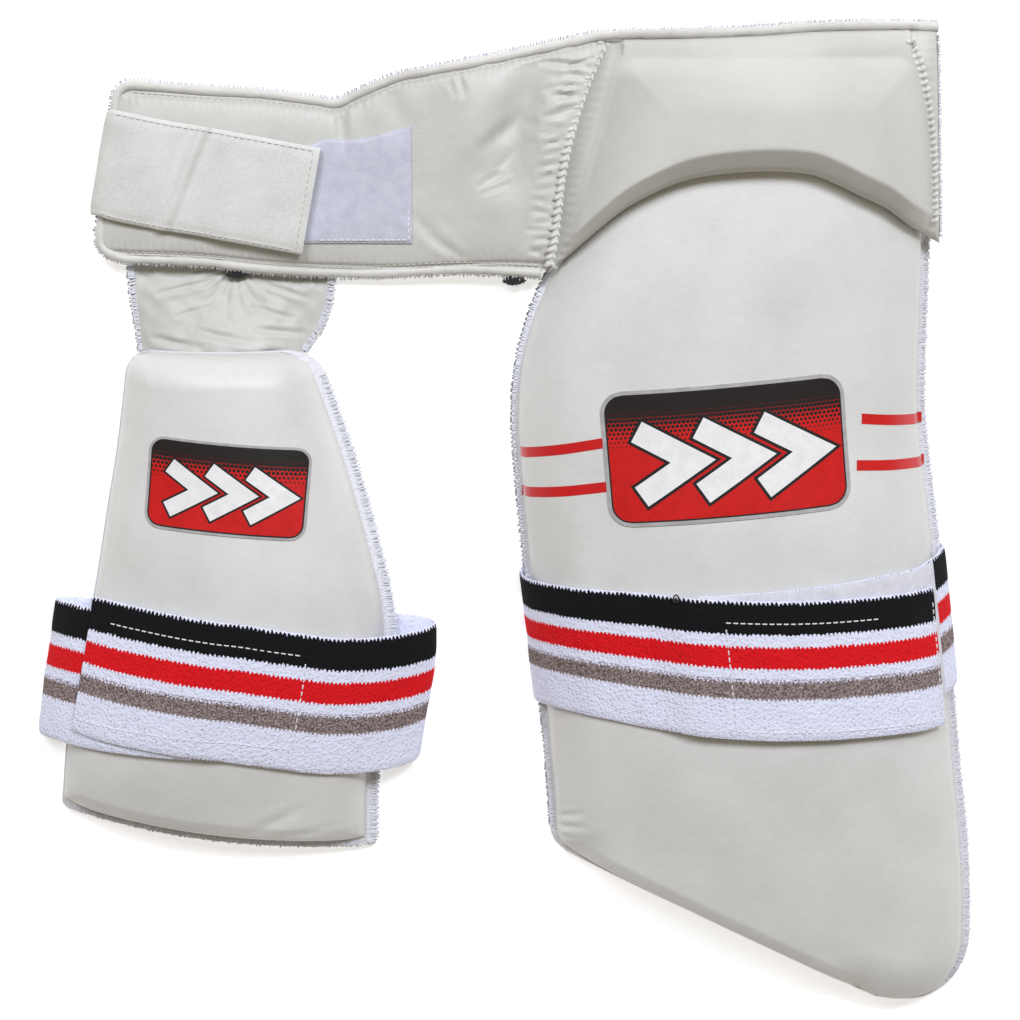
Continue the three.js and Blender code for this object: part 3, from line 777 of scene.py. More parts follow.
@dataclass(frozen=True)
class ElasticFinish:
    """Knitted elastic with woven colour bands whose borders are scalloped."""

    name: str
    stripes: tuple[Stripe, ...]
    scallop_mm: float = 1.15
    rib_mm: float = 1.9
    melange: tuple[float, float] = (36.0, 45.0)

    def material(self) -> Material:
        """Lays out the elastic's nodes.

        Returns:
            The material.
        """
        g = Graph(self.name)
        along, down = g.surface()
        jitter = g.maths("SUBTRACT", g.noise(1.7, 3.0, 0.7), 0.5)
        wobble = g.maths("MULTIPLY", jitter, 2.6)
        ribs = g.maths("ABSOLUTE", g.maths("SINE", g.maths("MULTIPLY", along, math.pi / self.rib_mm)))
        bent = g.maths("ADD", g.maths("ADD", down, g.maths("MULTIPLY", ribs, self.scallop_mm)), wobble)
        bands = g.ramp(
            g.maths("DIVIDE", bent, STRAP_WIDTH + 2.0),
            [(s.start_mm / (STRAP_WIDTH + 2.0), s.colour) for s in self.stripes],
            crisp=True,
        )
        slant = g.weigh(along, 1.4, down, 3.1)
        twill = g.maths("ABSOLUTE", g.maths("SINE", g.maths("MULTIPLY", slant, 0.8)))
        tufts = g.cells(1.5)
        fuzz = g.noise(0.9, 3.0, 0.7)
        clumps = g.noise(3.4, 3.0, 0.65)
        knit = g.weigh(ribs, 0.13, twill, 0.10)
        pile = g.weigh(tufts, 0.8, fuzz, 0.75)
        height = g.maths("ADD", g.maths("ADD", knit, pile), g.maths("MULTIPLY", clumps, 0.45))
        # Multiplies the colour by the relief height, darker where the knit and pile sit low and lighter on
        # their tops. This is painted shade in the hollows and a painted highlight on the raised loops.
        shade = g.ramp(height, [(0.48, (0.34, 0.34, 0.36)), (0.98, (1.08, 1.08, 1.06))])
        grain = g.ramp(g.noise(0.8, 2.0, 0.8), [(0.42, (0.30, 0.27, 0.26)), (0.6, (1.25, 1.2, 1.2))])
        inside = g.maths(
            "MULTIPLY",
            g.maths("GREATER_THAN", down, self.melange[0] - 1.0),
            g.maths("LESS_THAN", down, self.melange[1] - 1.0),
        )
        flecked = g.multiply(bands, g.mix(inside, (1.0, 1.0, 1.0), grain))
        normal = g.bump(height, 0.85, 0.6)
        return g.finish(g.multiply(flecked, shade), 0.92, normal, Specular_IOR_Level=0.15)


@dataclass(frozen=True)
class WebbingFinish:
    """Flat woven cream elastic with a fine ribbed face."""

    name: str
    light: Colour = (0.74, 0.74, 0.71)
    shade: Colour = (0.58, 0.58, 0.55)
    rib_mm: float = 1.1
    pick_mm: float = 0.8

    def material(self) -> Material:
        """Lays out the webbing's nodes.

        Returns:
            The material.
        """
        g = Graph(self.name)
        along, across = g.surface()
        ribs = g.maths("SINE", g.maths("MULTIPLY", along, 2 * math.pi / self.rib_mm))
        picks = g.maths("SINE", g.maths("MULTIPLY", across, 2 * math.pi / self.pick_mm))
        weave = g.maths("ADD", g.maths("MULTIPLY", g.maths("MULTIPLY", ribs, picks), 0.5), 0.5)
        fuzz = g.noise(1.3, 3.0, 0.75)
        height = g.weigh(weave, 0.45, fuzz, 0.8)
        patches = g.noise(26.0, 3.0, 0.6)
        # The colour mixes the weave's relief height with slow random patches: painted shade in the hollows
        # of the weave, over tone that differs at random.
        blend = g.weigh(height, 0.6, patches, 0.4)
        colour = g.ramp(blend, [(0.40, self.shade), (0.66, self.light)])
        return g.finish(colour, 0.88, g.bump(height, 0.7, 0.4), Specular_IOR_Level=0.2)


@dataclass(frozen=True)
class LoopFinish:
    """Brushed loop half of a hook-and-loop fastener."""

    name: str
    light: Colour = (0.60, 0.61, 0.69)
    shade: Colour = (0.47, 0.48, 0.56)

    def material(self) -> Material:
        """Lays out the brushed pile's nodes.

        Returns:
            The material.
        """
        g = Graph(self.name)
        clumps = g.noise(6.0, 4.0, 0.6)
        fuzz = g.noise(0.7, 2.0, 0.7)
        height = g.weigh(clumps, 0.6, fuzz, 0.5)
        # The colour follows the pile's relief height: painted shade, darker where the pile sits low.
        colour = g.ramp(height, [(0.38, self.shade), (0.72, self.light)])
        return g.finish(colour, 0.95, g.bump(height, 0.45, 0.4), Sheen_Weight=0.15, Specular_IOR_Level=0.15)


@dataclass(frozen=True)
class InkFinish:
    """Printed film of one colour with a faint mottle."""

    name: str
    light: Colour
    shade: Colour
    roughness: float = 0.38

    def material(self) -> Material:
        """Lays out the film's nodes.

        Returns:
            The material.
        """
        g = Graph(self.name)
        mottle = g.noise(5.0, 3.0, 0.6)
        colour = g.ramp(mottle, [(0.35, self.shade), (0.65, self.light)])
        normal = g.bump(g.cells(0.9), 0.12, 0.2)
        return g.finish(colour, self.roughness, normal, Specular_IOR_Level=0.4)


@dataclass(frozen=True)
class FadeFinish:
    """Printed film that fades through dots from one colour at its foot to a dark top."""

    name: str
    field: Colour
    dots: Colour
    height_mm: float
    start: float
    cell_mm: float

    def material(self) -> Material:
        """Lays out the dot pattern's nodes.

        Returns:
            The material.
        """
        g = Graph(self.name)
        across, up = g.surface()
        row = g.maths("DIVIDE", up, self.cell_mm)
        odd = g.maths("MULTIPLY", g.maths("MODULO", g.maths("FLOOR", row), 2.0), 0.5)
        column = g.maths("ADD", g.maths("DIVIDE", across, self.cell_mm), odd)
        dx = g.maths("SUBTRACT", g.maths("FRACT", column), 0.5)
        dy = g.maths("SUBTRACT", g.maths("FRACT", row), 0.5)
        far = g.maths("SQRT", g.maths("ADD", g.maths("MULTIPLY", dx, dx), g.maths("MULTIPLY", dy, dy)))
        share = g.maths("DIVIDE", up, self.height_mm)
        size = g.maths("MULTIPLY", g.maths("SUBTRACT", share, self.start), 0.9 / (1 - self.start))
        dark = g.maths("LESS_THAN", far, size)
        mottle = g.noise(5.0, 3.0, 0.6)
        deep = tuple(channel * 0.86 for channel in self.field)
        field = g.ramp(mottle, [(0.35, deep), (0.65, self.field)])
        colour = g.mix(dark, field, self.dots)
        normal = g.bump(g.cells(0.9), 0.12, 0.2)
        return g.finish(colour, 0.36, normal, Specular_IOR_Level=0.4)


RED: Colour = (0.60, 0.010, 0.010)
WHITE_YARN: Colour = (0.715, 0.735, 0.90)
BLACK_YARN: Colour = (0.007, 0.007, 0.008)
RED_YARN: Colour = (0.66, 0.009, 0.014)
GREY_YARN: Colour = (0.30, 0.25, 0.25)


class Finishes:
    """Every finish of the guard, made once."""

    def __init__(self) -> None:
        """Makes the materials."""
        stripes = (
            Stripe(0.0, WHITE_YARN),
            Stripe(1.3, BLACK_YARN),
            Stripe(15.4, WHITE_YARN),
            Stripe(21.2, RED_YARN),
            Stripe(31.0, WHITE_YARN),
            Stripe(37.2, GREY_YARN),
            Stripe(45.2, WHITE_YARN),
        )
        self.leather = LeatherFinish("pad_leather").material()
        # Pad leather made darker for the belt: painted shade standing in for the belt's tilt away from the
        # lights.
        self.belt_leather_painted_shade = LeatherFinish(
            "belt_leather_painted_shade", (0.58, 0.575, 0.535), (0.52, 0.515, 0.475), relief=0.24
        ).material()
        self.lining = TerryFinish("lining_terry").material()
        self.edging = TerryFinish("edging_terry", (0.74, 0.75, 0.80), (0.42, 0.43, 0.50), 1.2).material()
        self.piping = LeatherFinish(
            "piping_leather", (0.66, 0.65, 0.61), (0.54, 0.53, 0.49),
            grain_mm=0.8, relief=0.3, roughness=0.5,
        ).material()
        self.elastic = ElasticFinish("striped_elastic", stripes).material()
        plain = (Stripe(0.0, WHITE_YARN), Stripe(60.0, WHITE_YARN))
        self.elastic_back = ElasticFinish("plain_elastic", plain).material()
        self.webbing = WebbingFinish("cream_webbing").material()
        self.loop = LoopFinish("loop_pile").material()
        self.hook = LoopFinish("hook_tape", (0.72, 0.72, 0.77), (0.56, 0.56, 0.62)).material()
        # Pad leather made darker for the hip pad and the hanging tab: painted shade standing in for dimmer
        # light on the hip pad's face.
        self.hip_and_tab_leather_painted_shade = LeatherFinish(
            "hip_and_tab_leather_painted_shade", (0.57, 0.565, 0.525), (0.52, 0.515, 0.475), roughness=0.56
        ).material()
        self.seam_leather = LeatherFinish(
            "seam_leather", (0.66, 0.655, 0.62), (0.58, 0.57, 0.53), grain_mm=0.7, relief=0.3, roughness=0.5
        ).material()
        self.white_thread = ThreadFinish("white_thread", (0.85, 0.85, 0.88), (0.6, 0.6, 0.64)).material()
        self.seam_thread = ThreadFinish("seam_thread", (0.66, 0.645, 0.60), (0.42, 0.41, 0.38)).material()
        self.webbing_thread = ThreadFinish(
            "webbing_thread", (0.74, 0.725, 0.67), (0.5, 0.49, 0.45)
        ).material()
        self.black_thread = ThreadFinish(
            "black_thread", (0.03, 0.03, 0.032), (0.008, 0.008, 0.009)
        ).material()
        self.silver = InkFinish("silver_film", (0.45, 0.44, 0.44), (0.36, 0.35, 0.35), 0.3).material()
        self.dark = InkFinish("dark_film", (0.018, 0.016, 0.016), (0.012, 0.011, 0.011)).material()
        self.white = InkFinish("white_film", (0.84, 0.84, 0.84), (0.76, 0.76, 0.76)).material()
        self.red = InkFinish("red_film", RED, (0.55, 0.012, 0.014)).material()


@dataclass(frozen=True)
class Stitching:
    """A row of sewn stitches, in mm."""

    pitch: float = 3.4
    length: float = 2.3
    thread: float = 0.38

    def sew(self, maker: Maker, name: str, line: Array, up: Array | None = None) -> Object:
        """Sews along a line.

        Args:
            maker: Mesh maker.
            name: Name of the piece.
            line: Points on the surface.
            up: Outward direction of the surface at each point, straight up if left out.

        Returns:
            The stitches as one object.
        """
        whole = line if up is None else np.concatenate([line, up], axis=1)
        lengths = distances(line)
        starts = np.arange(0.3, lengths[-1] - self.length, self.pitch)
        t = np.linspace(0, 1, 6)
        wanted = starts[:, None] + self.length * t[None, :]
        both = read_along(wanted, lengths, whole)
        out = np.array([0.0, 0.0, 1.0]) if up is None else unit(both[..., 3:])
        rise = self.thread * (0.95 * np.sin(np.pi * t) - 0.25)
        return maker.tubes(name, both[..., :3] + out * rise[None, :, None], self.thread, 6)


@dataclass(frozen=True)
class Braid:
    """Thick puckered seam of leather folds pulled down by crossing stitches, in mm."""

    pitch: float = 3.3
    half: float = 3.2
    fat: float = 1.2
    slant: float = 2.2

    def sew(self, maker: Maker, name: str, line: Array, seed: int) -> Object:
        """Lays the folds along a line.

        Args:
            maker: Mesh maker.
            name: Name of the piece.
            line: Points of the seam on the surface.
            seed: Random seed of its unevenness.

        Returns:
            The folds as one object.
        """
        random = np.random.default_rng(seed)
        middle = resample(line, self.pitch)
        way = unit(np.gradient(softened(middle, 2), axis=0))
        out = unit(sideways(way))
        t = np.linspace(0, 1, 7)[None, :, None]
        paths = []
        for sign in (1.0, -1.0):
            jitter = random.uniform(0.8, 1.2, (len(middle), 1, 1))
            start = middle[:, None] + out[:, None] * sign * 0.1
            reach = out[:, None] * sign * self.half * jitter - way[:, None] * self.slant
            arc = np.array([0, 0, 1.0]) * (0.6 * np.sin(np.pi * t) + 0.2 * t)
            paths.append(start + reach * t + arc)
        fat = self.fat * np.sin(np.pi * np.linspace(0.2, 0.93, 7)) ** 0.6
        return maker.tubes(name, np.concatenate(paths), fat, 8)


@dataclass(frozen=True)
class Overlock:
    """Thread wrapped closely round a sewn edge, with loose loops standing off it."""

    reach: float = 1.75
    half: float = 1.4
    pitch: float = 0.86
    thread: float = 0.44
    fuzz: float = 0.6
    per_turn: int = 7

    def wrap(self, maker: Maker, name: str, line: Array, seed: int, leave: Side) -> Object:
        """Wraps a line.

        Args:
            maker: Mesh maker.
            name: Name of the piece.
            line: Middle line of the wrapped edge.
            seed: Random seed of its unevenness.
            leave: Side of the line, seen along it, on which loops stand off.

        Returns:
            The wrapping as one object.
        """
        random = np.random.default_rng(seed)
        lengths = distances(line)
        turns = int(lengths[-1] / self.pitch)
        phase = np.arange(turns * self.per_turn + 1) / self.per_turn
        drift = np.interp(phase, np.arange(turns + 2), random.uniform(-0.5, 0.5, turns + 2))
        where = np.clip(phase * self.pitch + drift * self.pitch * 1.3, 0, lengths[-1])
        centre = read_along(where, lengths, line)
        way = unit(np.gradient(softened(resample(line, 2.0), 3), axis=0))
        tangent = read_along(where / lengths[-1], np.linspace(0, 1, len(way)), way)
        out = unit(sideways(tangent)) * leave.value
        angle = 2 * math.pi * phase
        loop = np.interp(phase, np.arange(turns + 2), random.uniform(0.0, 1.0, turns + 2)) ** 3
        loose = np.maximum(np.cos(angle), 0) ** 2 * loop * self.fuzz
        side = self.reach * np.cos(angle) * (1 + 0.25 * drift) + loose
        lift = self.half * np.sin(angle) * (1 + 0.4 * drift)
        path = centre + out * side[:, None] + np.array([0, 0, 1.0]) * lift[:, None]
        return maker.tubes(name, path[None], self.thread, 5)


@dataclass(frozen=True)
class Flange:
    """Widths of the lining that show round a pad, in mm."""

    left: float = 0.0
    right: float = 0.0
    foot: float = 0.0
    top: float = 0.0


@dataclass
class Panel:
    """One moulded thigh panel: outline, arched underside and domed top."""

    rows: Table
    mid: float
    width: float
    foot: float
    length: float
    left_foot: float
    rise: float
    thick: float
    bevel: float
    foot_bow: float
    corner_left: float
    corner_right: float
    corner_top: float
    lift_from: float
    lift_to: float
    flange: Flange
    creases: tuple[Crease, ...] = ()
    waves: Unevenness = Unevenness(0.25, 60.0, SEED)
    edge_share: float = 0.35
    edge_round: float = 3.4
    knee_width: float = 8.0
    knee_rise: float = 0.2
    slope_rise: float = 0.2
    slope_length: float = 28.0
    outline_steps: int = 64
    line: Array = field(init=False)

    def __post_init__(self) -> None:
        """Draws the pad's outline."""
        self.line = self.edge(self.flange, self.outline_steps)

    def at(self, y: Array) -> Array:
        """Share of the panel's length at a height."""
        return np.clip((y - self.foot) / self.length, 0, 1)

    def left(self, y: Array) -> Array:
        """Left edge."""
        return self.mid + self.width * self.rows.read(self.at(y), 1)

    def right(self, y: Array) -> Array:
        """Right edge."""
        return self.mid + self.width * self.rows.read(self.at(y), 2)

    def under(self, x: Array, y: Array) -> Array:
        """Height of the arched underside.

        Args:
            x: Place across.
            y: Place along.

        Returns:
            The heights.
        """
        lift = smooth(y, self.lift_from - LIFT_BLEND, self.lift_from)
        lift = lift * (1 - smooth(y, self.lift_to, self.lift_to + LIFT_BLEND))
        left, right = self.left(y), self.right(y)
        q = np.clip((2 * x - left - right) / (right - left), -1, 1)
        return STRAP_BACK_LIFT * lift + self.rise * self.rows.read(self.at(y), 3) * (1 - q * q)

    def point(self, u: Array, v: Array, flange: Flange) -> tuple[Array, Array]:
        """Point of the outline grid.

        Args:
            u: Share across, from the left edge.
            v: Share along, from the foot.
            flange: Widths that the grid is set in by.

        Returns:
            The point's x and y.
        """
        top = self.foot + self.length - flange.top
        left_foot, right_foot = self.left_foot + flange.foot, self.foot + flange.foot
        left_y, right_y = lerp(left_foot, top, v), lerp(right_foot, top, v)
        span = self.right(right_y) - self.left(left_y)
        in_left = corner_inset(self.corner_left, left_y - left_foot)
        in_left = in_left + corner_inset(self.corner_top, top - left_y)
        in_right = corner_inset(self.corner_right, right_y - right_foot)
        in_right = in_right + corner_inset(self.corner_top, top - right_y)
        f = lerp(in_left / span, 1 - in_right / span, u)
        bow = self.foot_bow * 4 * f * (1 - f) * (1 - v) * (1 - v)
        y = lerp(left_y, right_y, f) - bow
        return lerp(self.left(y) + flange.left, self.right(y) - flange.right, f), y

    def edge(self, flange: Flange, steps: int = 64) -> Array:
        """Closed outline set in by a flange, as points in the plane.

        Args:
            flange: Widths that it is set in by.
            steps: Number of points on each side.

        Returns:
            The points, in order.
        """
        t = np.linspace(0, 1, steps, endpoint=False)
        b = bunched(steps, 0.8)[:-1]
        sides = [
            self.point(t, np.zeros(steps), flange),
            self.point(np.ones(steps), b, flange),
            self.point(1 - t, np.ones(steps), flange),
            self.point(np.zeros(steps), 1 - b, flange),
        ]
        return np.concatenate([np.stack(side, axis=1) for side in sides])

    def depth(self, x: Array, y: Array, part: slice = slice(None)) -> Array:
        """Distance from the pad's edge, or from one part of it, 0 outside it.

        Args:
            x: Place across.
            y: Place along.
            part: Part of the outline.

        Returns:
            The distances.
        """
        start, end = self.line, np.roll(self.line, -1, axis=0)
        best = np.full(np.shape(x), np.inf)
        for (ax, ay), (bx, by) in zip(start[part], end[part]):
            dx, dy = bx - ax, by - ay
            t = np.clip(((x - ax) * dx + (y - ay) * dy) / (dx * dx + dy * dy + 1e-9), 0, 1)
            best = np.minimum(best, np.hypot(x - ax - t * dx, y - ay - t * dy))
        inside = (x > self.left(y) + self.flange.left) & (x < self.right(y) - self.flange.right)
        return np.where(inside, best, 0.0)

    def base(self, x: Array, y: Array) -> Array:
        """Height of the pad's own underside."""
        return self.under(x, y) + BACKING + PAD_GAP

    def top(self, x: Array, y: Array) -> Array:
        """Height of the pad as its solid has it.

        Args:
            x: Place across.
            y: Place along.

        Returns:
            The heights.
        """
        rest = 1 - np.clip(self.depth(x, y) / self.bevel, 0, 1)
        share = self.edge_share + (1 - self.edge_share) * (1 - rest * rest)
        return self.base(x, y) + self.thick * self.rows.read(self.at(y), 4) * share

    def face(self, x: Array, y: Array) -> Array:
        """Height of the dressed pad, its rim rounded and its creases pressed in.

        Args:
            x: Place across.
            y: Place along.

        Returns:
            The heights.
        """
        foot = self.depth(x, y, slice(0, self.outline_steps))
        side = self.depth(x, y, slice(self.outline_steps, None))
        depth = np.minimum(foot, side)
        dome = 1 - (1 - np.clip(side / self.bevel, 0, 1)) ** 2
        share = self.edge_share * self.rounded(side) + (1 - self.edge_share) * dome
        knee = self.knee_rise * (np.clip(foot / self.knee_width, 0, 1) - 1)
        slope = self.slope_rise * np.exp(-foot / self.slope_length)
        share = share * (1 + knee - slope) * self.rounded(foot)
        height = self.base(x, y) + self.thick * self.rows.read(self.at(y), 4) * share
        for crease in self.creases:
            height = height + crease.press(x, y)
        return height + self.waves.at(x, y) * smooth(depth, 0, 12)

    def rounded(self, depth: Array) -> Array:
        """Share of the full height that the rounded rim has reached."""
        return np.sqrt(np.clip(1 - (1 - np.clip(depth / self.edge_round, 0, 1)) ** 2, 0, 1))

    def backing_point(self, u: Array, v: Array, side: float) -> Array:
        """Points of the lining sheet."""
        x, y = self.point(u, v, Flange())
        return spots(x, y, self.under(x, y) + (BACKING if side > 0 else 0.0))

    def pad_point(self, u: Array, v: Array, side: float) -> Array:
        """Points of the pad.

        Args:
            u: Share across.
            v: Share along.
            side: 1 for the outer face, -1 for the inner.

        Returns:
            The points.
        """
        x, y = self.point(u, v, self.flange)
        z = self.face(x, y) if side > 0 else self.base(x, y) - PAD_GAP + 0.1
        return spots(x, y, z)

    def edging_line(self, corners: tuple[float, float, float, float], inset: float) -> Array:
        """Line along part of the edge, on the middle of the lining.

        Args:
            corners: u and v of the start, then of the end; one of the two is the same in both.
            inset: Distance in from the outer edge.

        Returns:
            Points of the line.
        """
        t = np.linspace(0, 1, 400)
        u, v = lerp(corners[0], corners[2], t), lerp(corners[1], corners[3], t)
        x, y = self.point(u, v, Flange(inset, inset, inset, inset))
        return spots(x, y, self.under(x, y) + BACKING / 2)


@dataclass(frozen=True)
class Reach:
    """How an elastic turns round one side of its panel, in mm."""

    tuck: float
    out: float
    fall: float
    lean: float = 0.0


@dataclass(frozen=True)
class Seam:
    """Row of stitches on an elastic, by place along its course and share across at each end."""

    name: str
    start: tuple[float, float]
    end: tuple[float, float]


@dataclass
class Ring:
    """Course of an elastic: 0 to 1 over the front, 1 to 2 the right turn, 2 to 3 the back,
    3 to 4 the left turn."""

    panel: Panel
    shoulders: tuple[float, float]
    reach: dict[Side, Reach]
    course: Table

    def front(self, f: Array, y: Array) -> Array:
        """Point over the pad's top."""
        x = lerp(self.panel.left(y), self.panel.right(y), f)
        return spots(x, y, self.panel.top(x, y) + STRAP_GAP + STRAP_THICK / 2)

    def turn(self, side: Side, t: Array, y: Array, v: Array) -> Array:
        """Point of a side turn.

        Args:
            side: Which turn.
            t: Share of the turn, from the front.
            y: Height along the panel.
            v: Place across the strap, -0.5 to 0.5.

        Returns:
            The points.
        """
        sign, reach = side.value, self.reach[side]
        f = np.full(np.shape(y), self.shoulders[0 if side is Side.LEFT else 1])
        edge = self.panel.left(y) if side is Side.LEFT else self.panel.right(y)
        start = self.front(f, y)
        slope = unit((start - self.front(f - sign * 0.01, y)) * [1.0, 0.0, 1.0])
        low = np.full(np.shape(y), STRAP_THICK / 2)
        end = spots(edge - sign * reach.tuck, y, low)
        out = spots(edge + sign * (reach.out + reach.lean * v), y, low)
        bend = start + slope * reach.fall
        t = t[..., None]
        s = 1 - t
        return s**3 * start + 3 * s * s * t * bend + 3 * s * t * t * out + t**3 * end

    def base(self, turn: Array, y: Array, v: Array) -> Array:
        """Point of the course before layers are pushed off it.

        Args:
            turn: Place along the course.
            y: Height along the panel.
            v: Place across the strap, -0.5 to 0.5.

        Returns:
            The points.
        """
        s = np.mod(turn, 4.0)
        front = self.front(lerp(self.shoulders[0], self.shoulders[1], np.clip(s, 0, 1)), y)
        right = self.turn(Side.RIGHT, np.clip(s - 1, 0, 1), y, v)
        left = self.turn(Side.LEFT, np.clip(4 - s, 0, 1), y, v)
        back = lerp(right, left, np.clip(s - 2, 0, 1)[..., None])
        s = s[..., None]
        return np.where(s < 1, front, np.where(s < 2, right, np.where(s < 3, back, left)))

    def outward(self, turn: Array, y: Array, v: Array) -> Array:
        """Outward direction of the strap.

        Args:
            turn: Place along the course.
            y: Height along the panel.
            v: Place across the strap, -0.5 to 0.5.

        Returns:
            The directions.
        """
        step = 0.004
        way = unit((self.base(turn + step, y, v) - self.base(turn - step, y, v)) * [1.0, 0.0, 1.0])
        return spots(-way[..., 2], np.zeros(np.shape(turn)), way[..., 0])

    def on(self, turn: Array, v: Array, layer: Array | float) -> Array:
        """Point of the strap.

        Args:
            turn: Place along the course.
            v: Place across, 0 at the lower edge and 1 at the upper.
            layer: Distance pushed outwards.

        Returns:
            The points.
        """
        y = self.course.read(turn, 1) + STRAP_WIDTH * self.course.read(turn, 2) * (v - 0.5)
        off = np.asarray(layer)[..., None] if np.ndim(layer) else layer
        return self.base(turn, y, v - 0.5) + self.outward(turn, y, v - 0.5) * off

    def sew(self, maker: Maker, seams: tuple[Seam, ...], lift: Callable[[Array], Array]) -> None:
        """Sews the seams that show on the elastic.

        Args:
            maker: Mesh maker.
            seams: The seams.
            lift: Gives the height of the outer face over the course.
        """
        stitching = Stitching(pitch=3.2, length=2.0, thread=0.3)
        for seam in seams:
            t = np.linspace(0, 1, SEAM_POINTS)
            turn, v = lerp(seam.start[0], seam.end[0], t), lerp(seam.start[1], seam.end[1], t)
            y = self.course.read(turn, 1) + STRAP_WIDTH * (v - 0.5)
            up = self.outward(turn, y, v - 0.5)
            stitches = stitching.sew(maker, seam.name, self.on(turn, v, lift(turn)), up)
            settle(stitches, Slot.ELASTIC, [maker.finishes.white_thread])

    def stations(self, start: float, end: float, step: float) -> tuple[Array, Array]:
        """Even stations along the course.

        Args:
            start: First place along the course.
            end: Last place.
            step: Distance between stations in mm.

        Returns:
            The places, and their distances from the start.
        """
        turns = np.linspace(start, end, COURSE_POINTS)
        line = self.on(turns, np.full(COURSE_POINTS, 0.5), 0.0)
        lengths = distances(line)
        wanted = np.linspace(0, lengths[-1], int(lengths[-1] / step) + 1)
        return np.interp(wanted, lengths, turns), wanted


@dataclass(frozen=True)
class Badge:
    """Rounded plate of printed film lying on a pad, in mm."""

    x: float
    y: float
    width: float
    height: float
    corner: float
    slant: float
    rim: float
    chevrons: int = 3
    pitch: float = 0.25
    band: float = 0.085
    outline: float = 0.022

    def lay(self, panel: Panel, u: Array, v: Array, lift: float) -> Array:
        """Points of the badge's plane laid on a pad.

        Args:
            panel: The pad.
            u: Distance right of the badge's middle.
            v: Distance above it.
            lift: Distance off the pad.

        Returns:
            The points.
        """
        x = self.x + u - self.slant * v
        y = self.y + v + self.slant * u
        return spots(x, y, panel.face(x, y) + lift)

    def plate(
        self, maker: Maker, panel: Panel, name: str, inset: float, lifts: tuple[float, float]
    ) -> Object:
        """Makes a rounded plate.

        Args:
            maker: Mesh maker.
            panel: The pad that it lies on.
            name: Name of the piece.
            inset: Distance in from the badge's outline.
            lifts: Distances of its lower and upper face off the pad.

        Returns:
            The new object.
        """
        half_w, half_h = self.width / 2 - inset, self.height / 2 - inset
        corner = max(self.corner - inset, 1.0)
        us, vs = bunched(56, 0.3), bunched(44, 0.6)
        u, v = np.meshgrid(us, vs)

        def spread(u: Array, v: Array) -> tuple[Array, Array]:
            """Plane coordinates of the grid.

            Args:
                u: Share across.
                v: Share along.

            Returns:
                Distances from its middle.
            """
            down = lerp(-half_h, half_h, v)
            side = half_w - corner_inset(corner, half_h - np.abs(down))
            return lerp(-side, side, u), down

        def place(u: Array, v: Array, side: float) -> Array:
            """Points of one face."""
            a, b = spread(u, v)
            return self.lay(panel, a, b, lifts[1] if side > 0 else lifts[0])

        uv = np.stack(spread(u, v), axis=-1) + [half_w, half_h]
        return maker.slab(name, place, us, vs, uv, 40.0)

    def chevron(
        self, maker: Maker, panel: Panel, name: str, middle: float, half: float, lift: float
    ) -> Object:
        """Makes one pointed band of the badge's row.

        Args:
            maker: Mesh maker.
            panel: The pad.
            name: Name of the piece.
            middle: Distance of the band right of the badge's middle.
            half: Half of the band's width.
            lift: Distance off the pad.

        Returns:
            The new object.
        """
        reach, drop = 0.11 * self.width, 0.24 * self.height
        corners = np.array([[-reach, drop], [reach, 0.0], [-reach, -drop]]) + [middle, -0.04 * self.height]
        way = unit(np.diff(corners, axis=0))
        normal = spots(-way[:, 1], way[:, 0])
        first, last = np.concatenate([normal[:1], normal]), np.concatenate([normal, normal[-1:]])
        mitre = (first + last) / (1 + np.sum(first * last, axis=1, keepdims=True))
        longer = half - self.band * self.height
        corners[0] -= way[0] * longer
        corners[-1] += way[-1] * longer
        t = np.linspace(0, 2, 37)
        index = np.arange(3)
        line, off = read_along(t, index, corners), read_along(t, index, mitre) * half
        plane = line[None] + off[None] * np.linspace(-1, 1, 7)[:, None, None]
        return maker.skin(name, self.lay(panel, plane[..., 0], plane[..., 1], lift))

    def dress(self, maker: Maker, panel: Panel, node: str) -> None:
        """Builds and dresses the whole badge, standing for a solid.

        Args:
            maker: Mesh maker.
            panel: The pad that it lies on.
            node: Solid that it stands for.
        """
        tall = self.height - 2 * self.rim
        fade = FadeFinish(
            node + "_fade", RED, (0.015, 0.012, 0.012), height_mm=tall, start=0.52, cell_mm=1.9
        )
        rim = self.plate(maker, panel, node + "_rim", 0.0, (0.05, 0.55))
        settle(rim, Slot.PRINT, [maker.finishes.silver], node)
        line = self.plate(maker, panel, node + "_line", self.rim - 0.7, (0.5, 0.62))
        settle(line, Slot.PRINT, [maker.finishes.dark])
        plate = self.plate(maker, panel, node + "_field", self.rim, (0.55, 0.72))
        settle(plate, Slot.PRINT, [fade.material()])
        band = self.height * self.band
        outlined = band + self.height * self.outline
        for number in range(self.chevrons):
            middle = (number - (self.chevrons - 1) / 2) * self.pitch * self.width
            name = f"{node}_chevron_{number + 1}"
            line = self.chevron(maker, panel, name + "_line", middle, outlined, 0.82)
            settle(line, Slot.PRINT, [maker.finishes.dark])
            settle(self.chevron(maker, panel, name, middle, band, 0.9), Slot.PRINT, [maker.finishes.white])


@dataclass(frozen=True)
class Bar:
    """Short printed bar beside the badge, by the middles of its two ends, in mm."""

    name: str
    start: tuple[float, float]
    end: tuple[float, float]
    height: float = 4.6

    def dress(self, maker: Maker, panel: Panel) -> None:
        """Lays the bar on its pad.

        Args:
            maker: Mesh maker.
            panel: The pad that it lies on.
        """
        t, v = np.meshgrid(np.linspace(0, 1, 60), np.linspace(-0.5, 0.5, 4))
        x = lerp(self.start[0], self.end[0], t)
        y = lerp(self.start[1], self.end[1], t) + self.height * v
        points = spots(x, y, panel.face(x, y) + 0.18)
        settle(maker.skin(self.name, points), Slot.PRINT, [maker.finishes.red])


